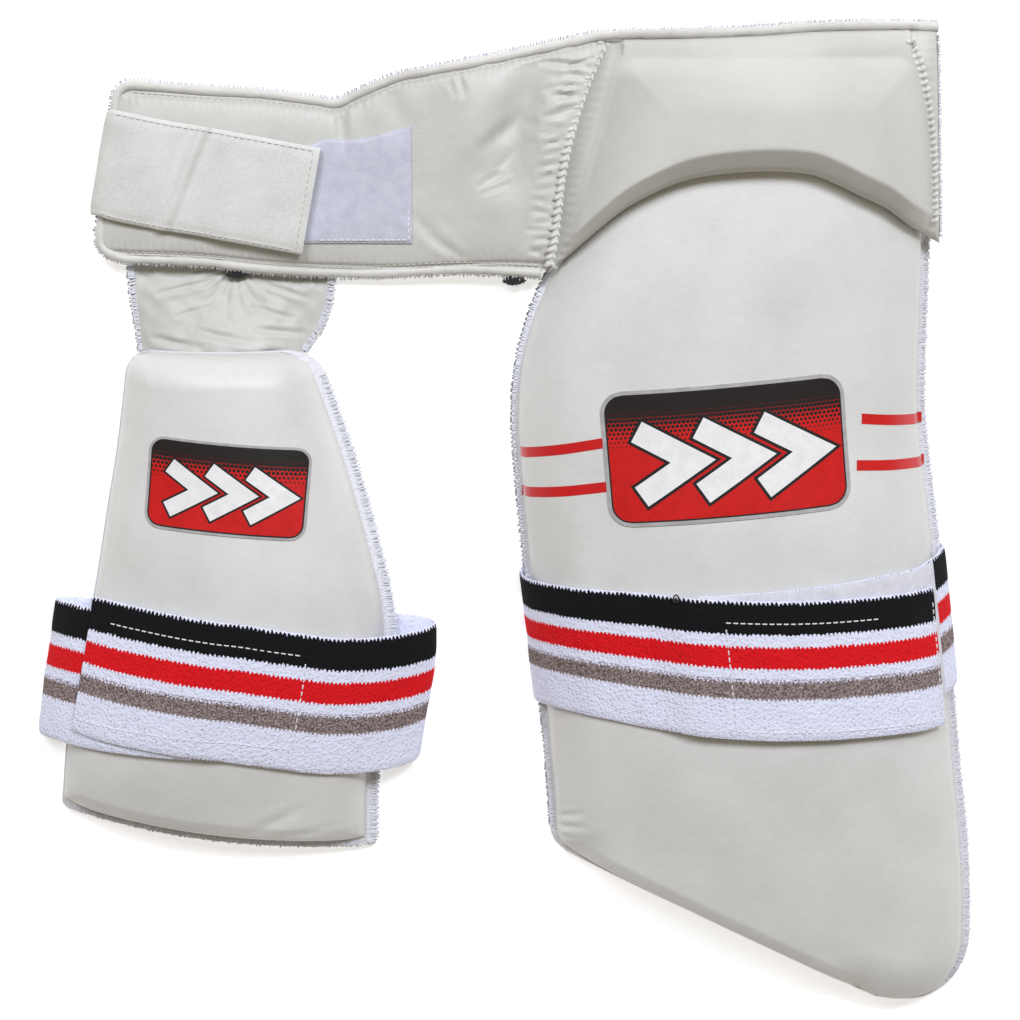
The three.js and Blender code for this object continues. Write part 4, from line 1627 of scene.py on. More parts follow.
def elastic(
    maker: Maker,
    name: str,
    ring: Ring,
    ends: tuple[float, float],
    thick: float,
    layer: Callable[[Array], Array],
    seed: int,
) -> tuple[Object, float]:
    """Makes an elastic band along its course.

    Args:
        maker: Mesh maker.
        name: Name of the piece.
        ring: Its course.
        ends: First and last place along the course.
        thick: Thickness of the band.
        layer: Gives the distance that the band is pushed outwards.
        seed: Random seed of its slight waves.

    Returns:
        The band, and its length in mm.
    """
    turns, lengths = ring.stations(ends[0], ends[1], 0.62)
    vs = bunched(26, 0.55)
    waves = Unevenness(0.16, 17.0, seed)

    def place(u: Array, v: Array, side: float) -> Array:
        """Points of one face.

        Args:
            u: Share across.
            v: Share along.
            side: 1 for the outer face, -1 for the inner.

        Returns:
            The points.
        """
        index = np.round(u * (len(turns) - 1)).astype(int)
        turn, along = turns[index], lengths[index]
        rim = np.abs(2 * v - 1)
        scallop = 0.32 * np.abs(np.sin(np.pi * along / 1.9)) * smooth(rim, 0.93, 1.0)
        wide = v + np.sign(v - 0.5) * scallop / STRAP_WIDTH
        half = thick / 2 * np.sqrt(np.clip(1 - rim**26, 0.03, 1))
        wave = waves.at(along, v * STRAP_WIDTH) * smooth(np.mod(turn, 4), 0.0, 0.2) * 0.8
        return ring.on(turn, wide, layer(turn) + side * half + np.maximum(wave, -0.2))

    us = np.linspace(0, 1, len(turns))
    along, v = np.meshgrid(lengths, vs)
    uv = spots(along, (1 - v) * STRAP_WIDTH)
    return maker.slab(name, place, us, vs, uv), float(lengths[-1])


@dataclass
class OuterGuard:
    """The large outer thigh panel with its badge, bars, wrapped edges and elastic."""

    panel: Panel = field(
        default_factory=lambda: Panel(
            rows=Table((
                (0.0, -0.396, 0.57, 0.45, 0.8), (0.1, -0.398, 0.582, 0.55, 0.95),
                (0.2, -0.403, 0.572, 0.7, 1.0), (0.3, -0.418, 0.543, 0.86, 1.0),
                (0.4, -0.441, 0.516, 0.96, 1.0), (0.5, -0.468, 0.487, 1.0, 1.0),
                (0.6, -0.49, 0.455, 1.0, 1.0), (0.65, -0.496, 0.441, 1.0, 1.0),
                (0.7, -0.487, 0.4375, 1.0, 1.0), (0.75, -0.457, 0.438, 1.0, 1.0),
                (0.8, -0.408, 0.439, 1.0, 1.0), (0.9, -0.33, 0.43, 1.0, 0.86),
                (1.0, -0.27, 0.39, 1.0, 0.6),
            )),
            mid=100.0,
            width=200.0,
            foot=-244.4,
            length=458.4,
            left_foot=-149.5,
            rise=26.0,
            thick=16.0,
            bevel=24.0,
            foot_bow=-2.5,
            corner_left=7.0,
            corner_right=52.0,
            corner_top=6.0,
            lift_from=-92.0,
            lift_to=2.0,
            flange=Flange(3.0, 4.0, 1.0, 2.0),
            creases=(
                Crease((20.0, -134.5), (33.6, -129.1), 0.9, 1.2),
                Crease((20.5, -139.0), (35.0, -135.8), 0.8, 1.2),
                Crease((21.0, -143.5), (30.0, -142.8), 0.7, 1.0),
            ),
        )
    )
    snag_x: float = 73.2
    seam_start: float = 4.425
    seam_inset: float = 0.03
    badge: Badge = Badge(x=95.0, y=42.0, width=107.0, height=60.0, corner=10.0, slant=0.09, rim=2.4)
    bars: tuple[Bar, ...] = (
        Bar("bar_left_upper", (4.6, 37.0), (40.8, 44.9)),
        Bar("bar_left_lower", (5.4, 19.0), (49.0, 26.6)),
        Bar("bar_right_upper", (155.2, 55.4), (186.6, 52.1)),
        Bar("bar_right_lower", (153.2, 34.9), (188.0, 33.0)),
    )
    strap_ends: tuple[float, float] = (0.36, 5.06)
    patch_end: float = 1.16

    def ring(self) -> Ring:
        """Course of the elastic.

        Returns:
            The course.
        """
        course = Table((
            (0.36, -54.0, 1.0), (0.7, -50.0, 1.0), (1.0, -45.0, 1.0), (1.5, -40.0, 1.0),
            (2.0, -39.5, 1.0), (3.0, -48.0, 0.98), (3.5, -50.0, 0.92), (4.0, -50.5, 0.92),
            (4.2, -52.5, 0.98), (4.45, -54.8, 1.0), (4.65, -55.5, 1.0), (4.85, -55.0, 1.0),
            (5.1, -53.8, 1.0),
        ))
        reach = {
            Side.LEFT: Reach(tuck=0.0, out=4.5, fall=26.0),
            Side.RIGHT: Reach(tuck=0.0, out=5.0, fall=18.0),
        }
        return Ring(self.panel, (0.1, 0.93), reach, course)

    def build(self, maker: Maker) -> None:
        """Builds and dresses the panel.

        Args:
            maker: Mesh maker.
        """
        panel = self.panel
        backing = maker.slab("outer_lining", panel.backing_point, bunched(60, 0.3), bunched(110, 0.4))
        settle(backing, Slot.LINING, [maker.finishes.lining], "outer_backing")
        across, along = bunched(120, 0.8), bunched(190, 0.55)
        pad = maker.slab("outer_cover", panel.pad_point, across, along, sharp_deg=85)
        settle(pad, Slot.LEATHER, [maker.finishes.leather], "outer_pad")
        self.badge.dress(maker, panel, "outer_badge")
        for bar in self.bars:
            bar.dress(maker, panel)
        self.wrap_edges(maker)
        self.fit_strap(maker)

    def wrap_edges(self, maker: Maker) -> None:
        """Wraps the two long edges.

        Args:
            maker: Mesh maker.
        """
        overlock = Overlock()
        left = self.panel.edging_line((0.0, 0.02, 0.0, 0.86), 1.4)
        right = self.panel.edging_line((1.0, 0.05, 1.0, 0.88), 1.4)
        for name, line, seed, side in (
            ("outer_edging_left", left, SEED + 1, Side.LEFT),
            ("outer_edging_right", right, SEED + 2, Side.RIGHT),
        ):
            settle(overlock.wrap(maker, name, line, seed, side), Slot.LINING, [maker.finishes.edging])

    def fit_strap(self, maker: Maker) -> None:
        """Fits the elastic, its hook patch and its stitches.

        Args:
            maker: Mesh maker.
        """
        ring = self.ring()
        over = STRAP_THICK + PATCH_THICK + 2 * CLEAR

        def layer(turn: Array) -> Array:
            """Push of the overlapping end."""
            return over * smooth(turn, 4.2, 4.34)

        strap, length = elastic(maker, "outer_elastic", ring, self.strap_ends, STRAP_THICK, layer, SEED + 3)
        settle(strap, Slot.ELASTIC, [maker.finishes.elastic, maker.finishes.elastic_back], "outer_strap")
        patch, reach = elastic(
            maker,
            "outer_hook_patch",
            ring,
            (self.strap_ends[0], self.patch_end),
            PATCH_THICK,
            lambda turn: np.full(np.shape(turn), (STRAP_THICK + PATCH_THICK) / 2 + CLEAR),
            SEED + 4,
        )
        settle(patch, Slot.HOOK, [maker.finishes.hook], "outer_strap_patch")
        self.sew_strap(maker, ring, over + STRAP_THICK / 2)

    def sew_strap(self, maker: Maker, ring: Ring, lift: float) -> None:
        """Sews the seams that show on the front of the elastic.

        Args:
            maker: Mesh maker.
            ring: Course of the elastic.
            lift: Height of its outer face over its course.
        """
        first, last = self.seam_start, self.strap_ends[1] - self.seam_inset
        seams = (
            Seam("strap_seam_inner", (first, 0.06), (first, 0.84)),
            Seam("strap_seam_end", (last, 0.06), (last, 0.93)),
            Seam("strap_seam_lower", (first, 0.06), (last, 0.06)),
            Seam("strap_seam_black", (first, 0.845), (4.85, 0.845)),
        )
        ring.sew(maker, seams, lambda turn: np.full(np.shape(turn), lift))
        turn = np.linspace(self.strap_ends[0], last, COURSE_POINTS)
        edge = ring.on(turn, np.full(COURSE_POINTS, 0.97), lift)
        root = edge[turn > 4.0][np.argmin(np.abs(edge[turn > 4.0][:, 0] - self.snag_x))]
        angle = np.linspace(-1.2, 4.6, 30)
        bend = spots(1.1 * np.cos(angle), 1.7 + 1.7 * np.sin(angle), 0.4 + 0.5 * np.sin(angle * 0.5))
        snag = maker.tubes("snagged_loop", (root + bend)[None], 0.34, 6)
        settle(snag, Slot.ELASTIC, [maker.finishes.black_thread])


@dataclass
class InnerGuard:
    """The small inner thigh panel with its badge, wrapped edges and elastic."""

    panel: Panel = field(
        default_factory=lambda: Panel(
            rows=Table((
                (0.0, -0.537, 0.457, 0.55, 0.75), (0.1, -0.518, 0.459, 0.66, 0.9),
                (0.2, -0.502, 0.47, 0.82, 1.0), (0.3, -0.477, 0.497, 0.95, 1.0),
                (0.4, -0.443, 0.52, 1.0, 1.0), (0.5, -0.407, 0.513, 1.0, 1.0),
                (0.6, -0.377, 0.48, 1.0, 1.0), (0.7, -0.351, 0.44, 0.98, 1.0),
                (0.8, -0.322, 0.395, 0.92, 1.0), (0.9, -0.299, 0.343, 0.86, 1.0),
                (1.0, -0.279, 0.287, 0.8, 1.0),
            )),
            mid=-131.0,
            width=150.0,
            foot=-150.0,
            length=233.0,
            left_foot=-131.0,
            rise=20.0,
            thick=15.0,
            bevel=15.0,
            foot_bow=4.0,
            corner_left=3.0,
            corner_right=3.0,
            corner_top=11.0,
            lift_from=-110.0,
            lift_to=-28.0,
            flange=Flange(1.0, 5.0, 4.0, 0.5),
            creases=(
                Crease((-120.0, -138.0), (-96.0, -126.0), 0.5, 2.4),
                Crease((-112.0, -142.0), (-80.0, -136.0), 0.4, 2.0),
            ),
            waves=Unevenness(0.22, 50.0, SEED + 9),
        )
    )
    badge: Badge = Badge(x=-125.5, y=24.0, width=72.0, height=41.0, corner=7.0, slant=-0.09, rim=1.8)
    strap_ends: tuple[float, float] = (-4.24, 0.38)
    overlap: tuple[float, float] = (3.45, 3.6)
    seam_end: float = -3.185

    def ring(self) -> Ring:
        """Course of the elastic.

        Returns:
            The course.
        """
        course = Table((
            (-4.3, -57.0, 0.97), (-4.0, -60.5, 1.0), (-3.75, -64.0, 1.0), (-3.5, -67.5, 1.0),
            (-3.25, -72.0, 1.0), (-3.0, -76.5, 1.0), (-2.6, -77.0, 1.0), (-2.0, -72.0, 1.0),
            (-1.0, -64.0, 1.0), (-0.5, -63.5, 1.0), (0.0, -65.5, 1.0), (0.4, -67.5, 1.0),
        ))
        reach = {
            Side.LEFT: Reach(tuck=-6.0, out=28.0, fall=26.0, lean=8.0),
            Side.RIGHT: Reach(tuck=-6.0, out=36.0, fall=26.0),
        }
        return Ring(self.panel, (0.16, 0.86), reach, course)

    def build(self, maker: Maker) -> None:
        """Builds and dresses the panel.

        Args:
            maker: Mesh maker.
        """
        panel = self.panel
        backing = maker.slab("inner_lining", panel.backing_point, bunched(48, 0.3), bunched(80, 0.4))
        settle(backing, Slot.LINING, [maker.finishes.lining], "inner_backing")
        pad = maker.slab("inner_cover", panel.pad_point, bunched(110, 0.8), bunched(150, 0.6), sharp_deg=85)
        settle(pad, Slot.LEATHER, [maker.finishes.leather], "inner_pad")
        self.badge.dress(maker, panel, "inner_badge")
        right = panel.edging_line((1.0, 0.0, 1.0, 0.96), 2.0)
        foot = panel.edging_line((0.02, 0.0, 0.98, 0.0), 1.6)
        for name, line, seed, overlock in (
            ("inner_edging_right", right, SEED + 5, Overlock(reach=2.6, half=1.5)),
            ("inner_edging_foot", foot, SEED + 6, Overlock(reach=1.7)),
        ):
            settle(overlock.wrap(maker, name, line, seed, Side.RIGHT), Slot.LINING, [maker.finishes.edging])
        self.fit_strap(maker)

    def fit_strap(self, maker: Maker) -> None:
        """Fits the elastic and its stitches.

        Args:
            maker: Mesh maker.
        """
        ring = self.ring()

        def layer(turn: Array) -> Array:
            """Push of the overlapping end."""
            return (STRAP_THICK + CLEAR) * smooth(-turn, *self.overlap)

        strap, length = elastic(maker, "inner_elastic", ring, self.strap_ends, STRAP_THICK, layer, SEED + 7)
        settle(strap, Slot.ELASTIC, [maker.finishes.elastic, maker.finishes.elastic_back], "inner_strap")
        end = self.seam_end
        seams = (
            Seam("inner_strap_seam_inner", (end, 0.16), (end, 0.80)),
            Seam("inner_strap_seam_black", (-4.1, 0.845), (end, 0.845)),
            Seam("inner_strap_seam_lower", (-4.2, 0.10), (end, 0.16)),
        )
        ring.sew(maker, seams, lambda turn: layer(turn) + STRAP_THICK / 2)


@dataclass
class HipPad:
    """The padded hip piece across the upper end of the outer panel."""

    outer: Panel
    thick: float = 17.0
    edge: float = 5.0
    bevel: float = 9.2
    side_bevel: float = 11.0
    top_bevel: float = 18.0
    foot: float = 117.7
    length: float = 99.3
    arch: Table = Table((
        (0.0, 0.0), (0.04, 0.082), (0.09, 0.178), (0.155, 0.283), (0.22, 0.354), (0.3, 0.417),
        (0.38, 0.448), (0.51, 0.465), (0.63, 0.452), (0.7, 0.41), (0.77, 0.355), (0.84, 0.3),
        (0.91, 0.22), (1.0, 0.135),
    ))
    crest: Table = Table(
        ((0.0, 1.037), (0.2, 1.036), (0.45, 1.048), (0.6, 1.064), (0.9, 1.076), (1.0, 1.071))
    )
    sides: Table = Table((
        (0.0, 16.8, 191.4), (0.15, 20.0, 191.0), (0.46, 23.8, 189.9), (0.74, 30.7, 188.9),
        (1.02, 41.6, 187.8),
    ))
    steps: Table = Table(((0.0, 0.0), (0.1, 0.2), (0.9, 0.945), (0.98, 0.985), (1.1, 0.995), (2.0, 1.0)))
    waves: Unevenness = Unevenness(0.2, 48.0, SEED + 11)
    right_seam: tuple[tuple[float, float], ...] = (
        (173.6, 218.5), (178.4, 206.8), (182.2, 189.7), (184.6, 172.4), (185.9, 150.7), (186.4, 141.0),
    )

    def left(self, y: Array) -> Array:
        """Left seam."""
        return self.sides.read((y - self.foot) / self.length, 1)

    def right(self, y: Array) -> Array:
        """Right edge."""
        return self.sides.read((y - self.foot) / self.length, 2)

    def foot_y(self, u: Array) -> Array:
        """Lower edge."""
        return self.foot + self.length * self.arch.read(u)

    def top_y(self, u: Array) -> Array:
        """Upper edge."""
        return self.foot + self.length * self.crest.read(u)

    def point(self, u: Array, v: Array) -> tuple[Array, Array]:
        """Point of the outline grid."""
        y = lerp(self.foot_y(u), self.top_y(u), v)
        return lerp(self.left(y) + CLEAR, self.right(y), u), y

    def face(self, x: Array, y: Array, u: Array) -> Array:
        """Height of the pad's top.

        Args:
            x: Place across.
            y: Place along.
            u: Share across.

        Returns:
            The heights.
        """
        above = (y - self.foot_y(u)) * 0.9
        below = self.top_y(u) - y
        side = np.minimum(x - self.left(y), self.right(y) - x)
        foot = self.steps.read(above / self.bevel)
        flank = 1 - (1 - np.clip(side / self.side_bevel, 0, 1)) ** 2
        crest = 1 - (1 - np.clip(below / self.top_bevel, 0, 1)) ** 2
        rim = np.minimum(np.minimum(above, below), np.minimum(0.5 * (x - self.left(y)), self.right(y) - x))
        wall = np.sqrt(np.clip(1 - (1 - np.clip(rim / 2.4, 0, 1)) ** 2, 0, 1))
        pucker = 0.38 * np.sin(y / 0.62 + 2 * np.sin(y / 9)) * hump(side - 4.6, 2.6)
        raised = self.edge * (0.35 + 0.65 * wall) + (self.thick - self.edge) * foot * flank * crest
        return self.outer.top(x, y) + HIP_GAP + raised + pucker + self.waves.at(x, y) * flank

    def place(self, u: Array, v: Array, side: float) -> Array:
        """Points of the pad.

        Args:
            u: Share across.
            v: Share along.
            side: 1 for the outer face, -1 for the inner.

        Returns:
            The points.
        """
        x, y = self.point(u, v)
        z = self.face(x, y, u) if side > 0 else self.outer.top(x, y) + 0.4
        return spots(x, y, z)

    def seam(self, u: float, start: float, end: float, lift: float = 0.0) -> Array:
        """Line along the pad at one share across.

        Args:
            u: Share across.
            start: Share along at its start.
            end: Share along at its end.
            lift: Distance off the face.

        Returns:
            Points of the line.
        """
        t = np.linspace(start, end, 200)
        us = np.full(200, u)
        x, y = self.point(us, t)
        return spots(x, y, self.face(x, y, us) + lift)

    def build(self, maker: Maker) -> None:
        """Builds and dresses the pad.

        Args:
            maker: Mesh maker.
        """
        low = np.linspace(0, 0.4, 46)[:-1] ** 1.35 * 0.4 / 0.4**1.35
        rows = np.concatenate([low, np.linspace(0.4, 1, 46)])
        pad = maker.slab("hip_cover", self.place, bunched(150, 0.7), rows, sharp_deg=80)
        settle(pad, Slot.LEATHER, [maker.finishes.hip_and_tab_leather_painted_shade], "hip_pad")
        left = self.seam(0.004, 0.04, 0.985, 0.0)
        left = left + np.array([-0.4, 0.0, 0.0])
        seam = Braid().sew(maker, "hip_seam_left", left, SEED + 51)
        settle(seam, Slot.LEATHER, [maker.finishes.seam_leather])
        roll = maker.tubes("hip_seam_roll", (left + np.array([-0.6, 0.0, -1.3]))[None], 2.3, 12)
        settle(roll, Slot.LEATHER, [maker.finishes.seam_leather])
        right = resample(np.array(self.right_seam), 1.0)
        x, y = right[:, 0], right[:, 1]
        share = (x - self.left(y) - CLEAR) / (self.right(y) - self.left(y) - CLEAR)
        right = spots(x, y, self.face(x, y, share) - 0.2)
        seam = Braid(pitch=3.0, half=2.1, fat=1.1, slant=1.5).sew(maker, "hip_seam_right", right, SEED + 52)
        settle(seam, Slot.LEATHER, [maker.finishes.seam_leather])
        edge = self.seam(1.0, 0.03, 0.985)
        edge[:, 2] = self.outer.top(edge[:, 0], edge[:, 1]) + HIP_GAP + self.edge / 2
        overlock = Overlock(reach=0.9, half=2.2, pitch=0.9, thread=0.4)
        wrap = overlock.wrap(maker, "hip_edging_right", edge, SEED + 53, Side.RIGHT)
        settle(wrap, Slot.LINING, [maker.finishes.edging])


@dataclass
class WaistBelt:
    """The padded belt with its piping, loop patch, fastening strap and hanging tab."""

    hip: HipPad
    inner: Panel
    left: float = -184.5
    length: float = 226.0
    thick: float = 7.0
    edge: float = 2.6
    end_bevel: float = 16.0
    end_lean: float = 11.0
    end_tuck: float = 0.6
    corner_top: float = 3.0
    corner_foot: float = 8.0
    rows: Table = Table((
        (0.0, 125.8, 199.4, 8.2), (0.2, 124.2, 196.2, 6.9), (0.33, 121.2, 194.6, 5.4),
        (0.44, 119.6, 191.6, 3.9), (0.48, 119.3, 190.6, 3.5), (0.52, 119.0, 194.8, 3.9),
        (0.59, 118.9, 202.0, 5.2), (0.66, 119.5, 205.0, 6.3), (0.8, 120.9, 211.0, 7.6),
        (0.92, 120.0, 216.7, 8.4), (1.0, 119.2, 220.7, 9.4),
    ))
    creases: tuple[Crease, ...] = (
        Crease((-75.4, 193.4), (-73.8, 172.0), 1.1, 2.6),
        Crease((-52.0, 198.2), (-49.5, 183.0), 0.8, 4.5),
        Crease((-22.8, 206.0), (-20.5, 196.5), 0.7, 1.6),
        Crease((-27.0, 203.0), (-24.0, 196.0), 0.5, 1.4),
        Crease((10.5, 206.0), (-4.0, 162.0), 4.6, 7.5),
        Crease((-14.0, 200.0), (-30.0, 150.0), -1.3, 7.0),
        Crease((4.0, 186.0), (-13.0, 172.0), 0.9, 2.6),
        Crease((8.0, 176.0), (-8.0, 160.0), 0.8, 2.2),
        Crease((-14.2, 156.3), (1.3, 163.0), 0.75, 1.15),
        Crease((-12.4, 153.2), (-0.9, 157.3), 0.6, 1.0),
        Crease((-12.5, 159.4), (-3.4, 162.4), 0.4, 0.9),
        Crease((-44.4, 143.6), (-26.7, 128.1), 0.5, 2.4),
        Crease((-35.6, 133.4), (-17.8, 122.7), 0.45, 2.0),
        Crease((12.0, 148.0), (6.0, 126.0), 0.8, 4.0),
    )
    pucker_count: int = 25
    stitch_inset: float = 1.6
    waves: Unevenness = Unevenness(0.35, 34.0, SEED + 13)
    strap_width: float = 47.0
    strap_thick: float = 3.0
    strap_lean: float = 9.0
    strap_end: float = -88.0
    strap_back_end: float = -128.0
    strap_turn: float = -181.9
    strap_kink: tuple[float, float] = (63.0, 51.0)
    strap_columns: int = 33
    strap_course: Table = Table(((0.0, 167.0), (0.3, 161.2), (0.5, 158.2), (1.0, 149.5)))
    loop_left: float = LOOP_LEFT
    loop_right: float = -43.5
    loop_foot: float = LOOP_FOOT
    loop_rows: Table = Table(((0.0, 181.5), (0.53, 176.5), (1.0, 182.5)))
    loop_trim: float = 10.0
    loop_flat: float = 50.0
    loop_corner: tuple[float, float] = (0.40, 8.0)
    loop_thick: float = 1.2
    tab_thick: float = 2.5
    tab_gather: tuple[float, float] = (-122.3, 121.0)
    tab_top: float = 126.0
    tab_foot: float = 70.0
    tab_rows: Table = Table((
        (0.0, -163.0, -95.5), (0.2, -167.2, -92.7), (0.42, -168.6, -84.6), (0.66, -170.4, -80.2),
        (1.0, -171.5, -79.6),
    ))
    tacks: dict[str, tuple[float, float]] = field(
        default_factory=lambda: {"tack_left": (-122.3, 116.6), "tack_right": (1.9, 113.8)}
    )
    tab_creases: tuple[Crease, ...] = (
        Crease((-160.0, 88.0), (-139.0, 84.5), 1.5, 1.5),
        Crease((-141.0, 92.0), (-118.0, 87.0), 1.1, 1.6),
        Crease((-114.0, 92.5), (-94.0, 90.0), 1.2, 1.3),
        Crease((-122.0, 80.0), (-100.0, 82.0), 1.0, 1.8),
        Crease((-158.0, 108.0), (-134.0, 114.0), 0.9, 1.2),
        Crease((-112.0, 113.0), (-92.0, 106.0), 0.9, 1.2),
        Crease((-150.0, 98.0), (-132.0, 103.0), 0.7, 1.0),
        Crease((-116.0, 102.0), (-98.0, 97.0), 0.7, 1.0),
    )

    def row(self, a: Array, column: int) -> Array:
        """Column of the belt's table at a share of its length."""
        return self.rows.read(np.clip(a, 0, 1), column)

    def left_edge(self, y: Array) -> Array:
        """Left end.

        Args:
            y: Place along.

        Returns:
            Places across.
        """
        foot, top = float(self.row(0.0, 1)), float(self.row(0.0, 2))
        inset = corner_inset(self.corner_foot, y - foot) + corner_inset(self.corner_top, top - y)
        return self.left + self.end_lean * (y - foot) / (top - foot) + inset

    def point(self, u: Array, v: Array) -> tuple[Array, Array]:
        """Point of the outline grid."""
        y = lerp(self.row(u, 1), self.row(u, 2), v)
        return lerp(self.left_edge(y), self.hip.left(y) - CLEAR, u), y

    def under(self, x: Array) -> Array:
        """Height of the underside."""
        return self.row((x - self.left) / self.length, 3)

    def top(self, x: Array, y: Array) -> Array:
        """Height of the belt's face as its solid has it.

        Args:
            x: Place across.
            y: Place along.

        Returns:
            The heights.
        """
        a = (x - self.left) / self.length
        foot, top = self.row(a, 1), self.row(a, 2)
        q = np.clip((2 * y - foot - top) / (top - foot), -1, 1)
        end = 1 - np.clip((x - self.left_edge(y)) / self.end_bevel, 0, 1)
        crown = np.sqrt(np.maximum(1 - q**4, 0)) * (1 - end * end)
        return self.under(x) + self.edge + (self.thick - self.edge) * crown

    def face(self, x: Array, y: Array) -> Array:
        """Height of the dressed face, with its stitched rims and creases.

        Args:
            x: Place across.
            y: Place along.

        Returns:
            The heights.
        """
        a = (x - self.left) / self.length
        low, high = y - self.row(a, 1), self.row(a, 2) - y
        groove = 1.1 * (hump(high - 1.5, 0.9) + hump(low - 1.5, 0.9))
        ticks = 0.16 * np.sin(x * 1.9 + 1.5 * np.sin(x / 7)) * hump(np.minimum(low, high) - 3.6, 2.2)
        groove = groove + ticks
        height = self.top(x, y) - groove
        rim = smooth(np.minimum(low, high), 0.0, 6.0)
        for crease in self.creases + self.puckers():
            height = height + crease.press(x, y) * rim
        seam = self.hip.left(y) - x
        return height + self.waves.at(x, y) * rim - 0.4 * hump(seam, 2.6)

    def puckers(self) -> tuple[Crease, ...]:
        """Short folds that the hip seam pulls into the belt's leather.

        Returns:
            The folds.
        """
        random = np.random.default_rng(SEED + 14)
        made = []
        for y in np.linspace(126.0, 211.0, self.pucker_count):
            y = float(y + random.uniform(-1.6, 1.6))
            x = float(self.hip.left(np.array(y))) - 2.5
            near_top = float(smooth(y, 150, 205))
            long = random.uniform(6.0, 19.0) * (0.6 + 0.7 * near_top)
            drop = random.uniform(-4.0, 3.0)
            deep = random.uniform(0.5, 1.0) * (0.8 + 0.7 * near_top)
            made.append(Crease((x, y), (x - long, y + drop), deep, random.uniform(0.8, 1.5)))
        return tuple(made)

    def place(self, u: Array, v: Array, side: float) -> Array:
        """Points of the belt."""
        x, y = self.point(u, v)
        return spots(x, y, self.face(x, y) if side > 0 else self.under(x))

    def build(self, maker: Maker) -> None:
        """Builds and dresses the belt and what it carries.

        Args:
            maker: Mesh maker.
        """
        belt = maker.slab("belt_cover", self.place, bunched(330, 0.2), bunched(88, 0.6), sharp_deg=70)
        settle(belt, Slot.LEATHER, [maker.finishes.belt_leather_painted_shade], "waist_belt")
        self.roll_piping(maker)
        self.sew_belt(maker)
        self.fit_loop(maker)
        self.fit_strap(maker)
        self.hang_tab(maker)

    def roll_piping(self, maker: Maker) -> None:
        """Rolls the piping along the belt and the hip pad.

        Args:
            maker: Mesh maker.
        """
        out = PIPING_RADIUS * 0.75
        u = np.linspace(1 / 14, 1, 90)
        x, y = self.hip.point(u, np.ones(90))
        hip = spots(x, y + out, self.hip.outer.top(x, y) + HIP_GAP + self.hip.edge / 2 + 0.8)
        top = np.concatenate([self.rim(0.74, 1.0, out, 1.2), hip])
        foot = self.rim(0.36, 0.0, out, 0.4)
        for name, line, node, side in (
            ("top_piping", top, "belt_top_piping", Side.LEFT),
            ("foot_piping", foot, "belt_foot_piping", Side.RIGHT),
        ):
            line = softened(resample(line, 1.5), 3)
            random = np.random.default_rng(SEED + len(name))
            knots = random.uniform(0.88, 1.12, len(line) // 3 + 2)
            fat = PIPING_RADIUS * np.interp(np.arange(len(line)) / 3, np.arange(len(knots)), knots)
            settle(maker.tubes(name, line[None], fat, 16), Slot.PIPING, [maker.finishes.piping], node)
            way = unit(np.gradient(line, axis=0))
            behind = line + sideways(way) * side.value * 1.5 - np.array([0.0, 0.0, 0.8])
            overlock = Overlock(reach=1.2, half=1.2, pitch=1.1, thread=0.42)
            made = overlock.wrap(maker, name + "_fuzz", behind, SEED + len(name), side)
            settle(made, Slot.PIPING, [maker.finishes.edging])

    def rim(self, start: float, edge: float, out: float, lift: float) -> Array:
        """Line round one corner of the left end and along the edge to the hip pad.

        Args:
            start: Share of the belt's width at which it starts on the left end.
            edge: 1 for the upper edge, 0 for the lower.
            out: Distance outside the edge.
            lift: Height over the middle of the belt's rim.

        Returns:
            Points of the line.
        """
        v = lerp(start, edge, np.linspace(0, 1, 40))
        x, y = self.point(np.zeros(40), v)
        end = spots(x + self.end_tuck, y, self.under(x) + self.edge / 2 + lift)
        u = np.linspace(0.02, 0.985, 130)
        x, y = self.point(u, np.full(130, edge))
        side = spots(x, y + out * (2 * edge - 1), self.under(x) + self.edge / 2 + lift)
        return np.concatenate([end[:-1], side])

    def sew_belt(self, maker: Maker) -> None:
        """Sews the rows along the belt's rims and wraps its left end.

        Args:
            maker: Mesh maker.
        """
        for name, edge in (("belt_stitches_top", 1.0), ("belt_stitches_foot", 0.0)):
            u = np.linspace(0.03, 0.985, 500)
            x, y = self.point(u, np.full(500, edge))
            y = y + self.stitch_inset * (1 - 2 * edge)
            line = spots(x, y, self.face(x, y))
            stitches = Stitching(pitch=2.9, length=1.9, thread=0.3).sew(maker, name, line)
            settle(stitches, Slot.LEATHER, [maker.finishes.seam_thread])
        v = np.linspace(0.34, 0.80, 200)
        x, y = self.point(np.zeros(200), v)
        end = spots(x + 1.0, y, self.under(x) + self.edge / 2)
        overlock = Overlock(reach=2.4, half=2.0)
        wrap = overlock.wrap(maker, "belt_edging_end", end, SEED + 23, Side.LEFT)
        settle(wrap, Slot.LINING, [maker.finishes.edging])

    def fit_loop(self, maker: Maker) -> None:
        """Lays the loop patch on the belt.

        Args:
            maker: Mesh maker.
        """

        def place(u: Array, v: Array, side: float) -> Array:
            """Points of one face.

            Args:
                u: Share across.
                v: Share along.
                side: 1 for the outer face, -1 for the inner.

            Returns:
                The points.
            """
            x = lerp(self.loop_left + self.loop_trim, self.loop_right, u)
            start, drop = self.loop_corner
            y = lerp(self.loop_foot, self.loop_rows.read(u) - drop * smooth(start - u, 0.0, 0.3), v)
            rim = np.minimum(np.minimum(u, 1 - u) * 68, np.minimum(v, 1 - v) * self.loop_flat)
            lift = self.loop_thick * (0.45 + 0.55 * smooth(rim, 0, 1.6)) if side > 0 else -0.1
            return spots(x, y, self.face(x, y) + CLEAR + lift)

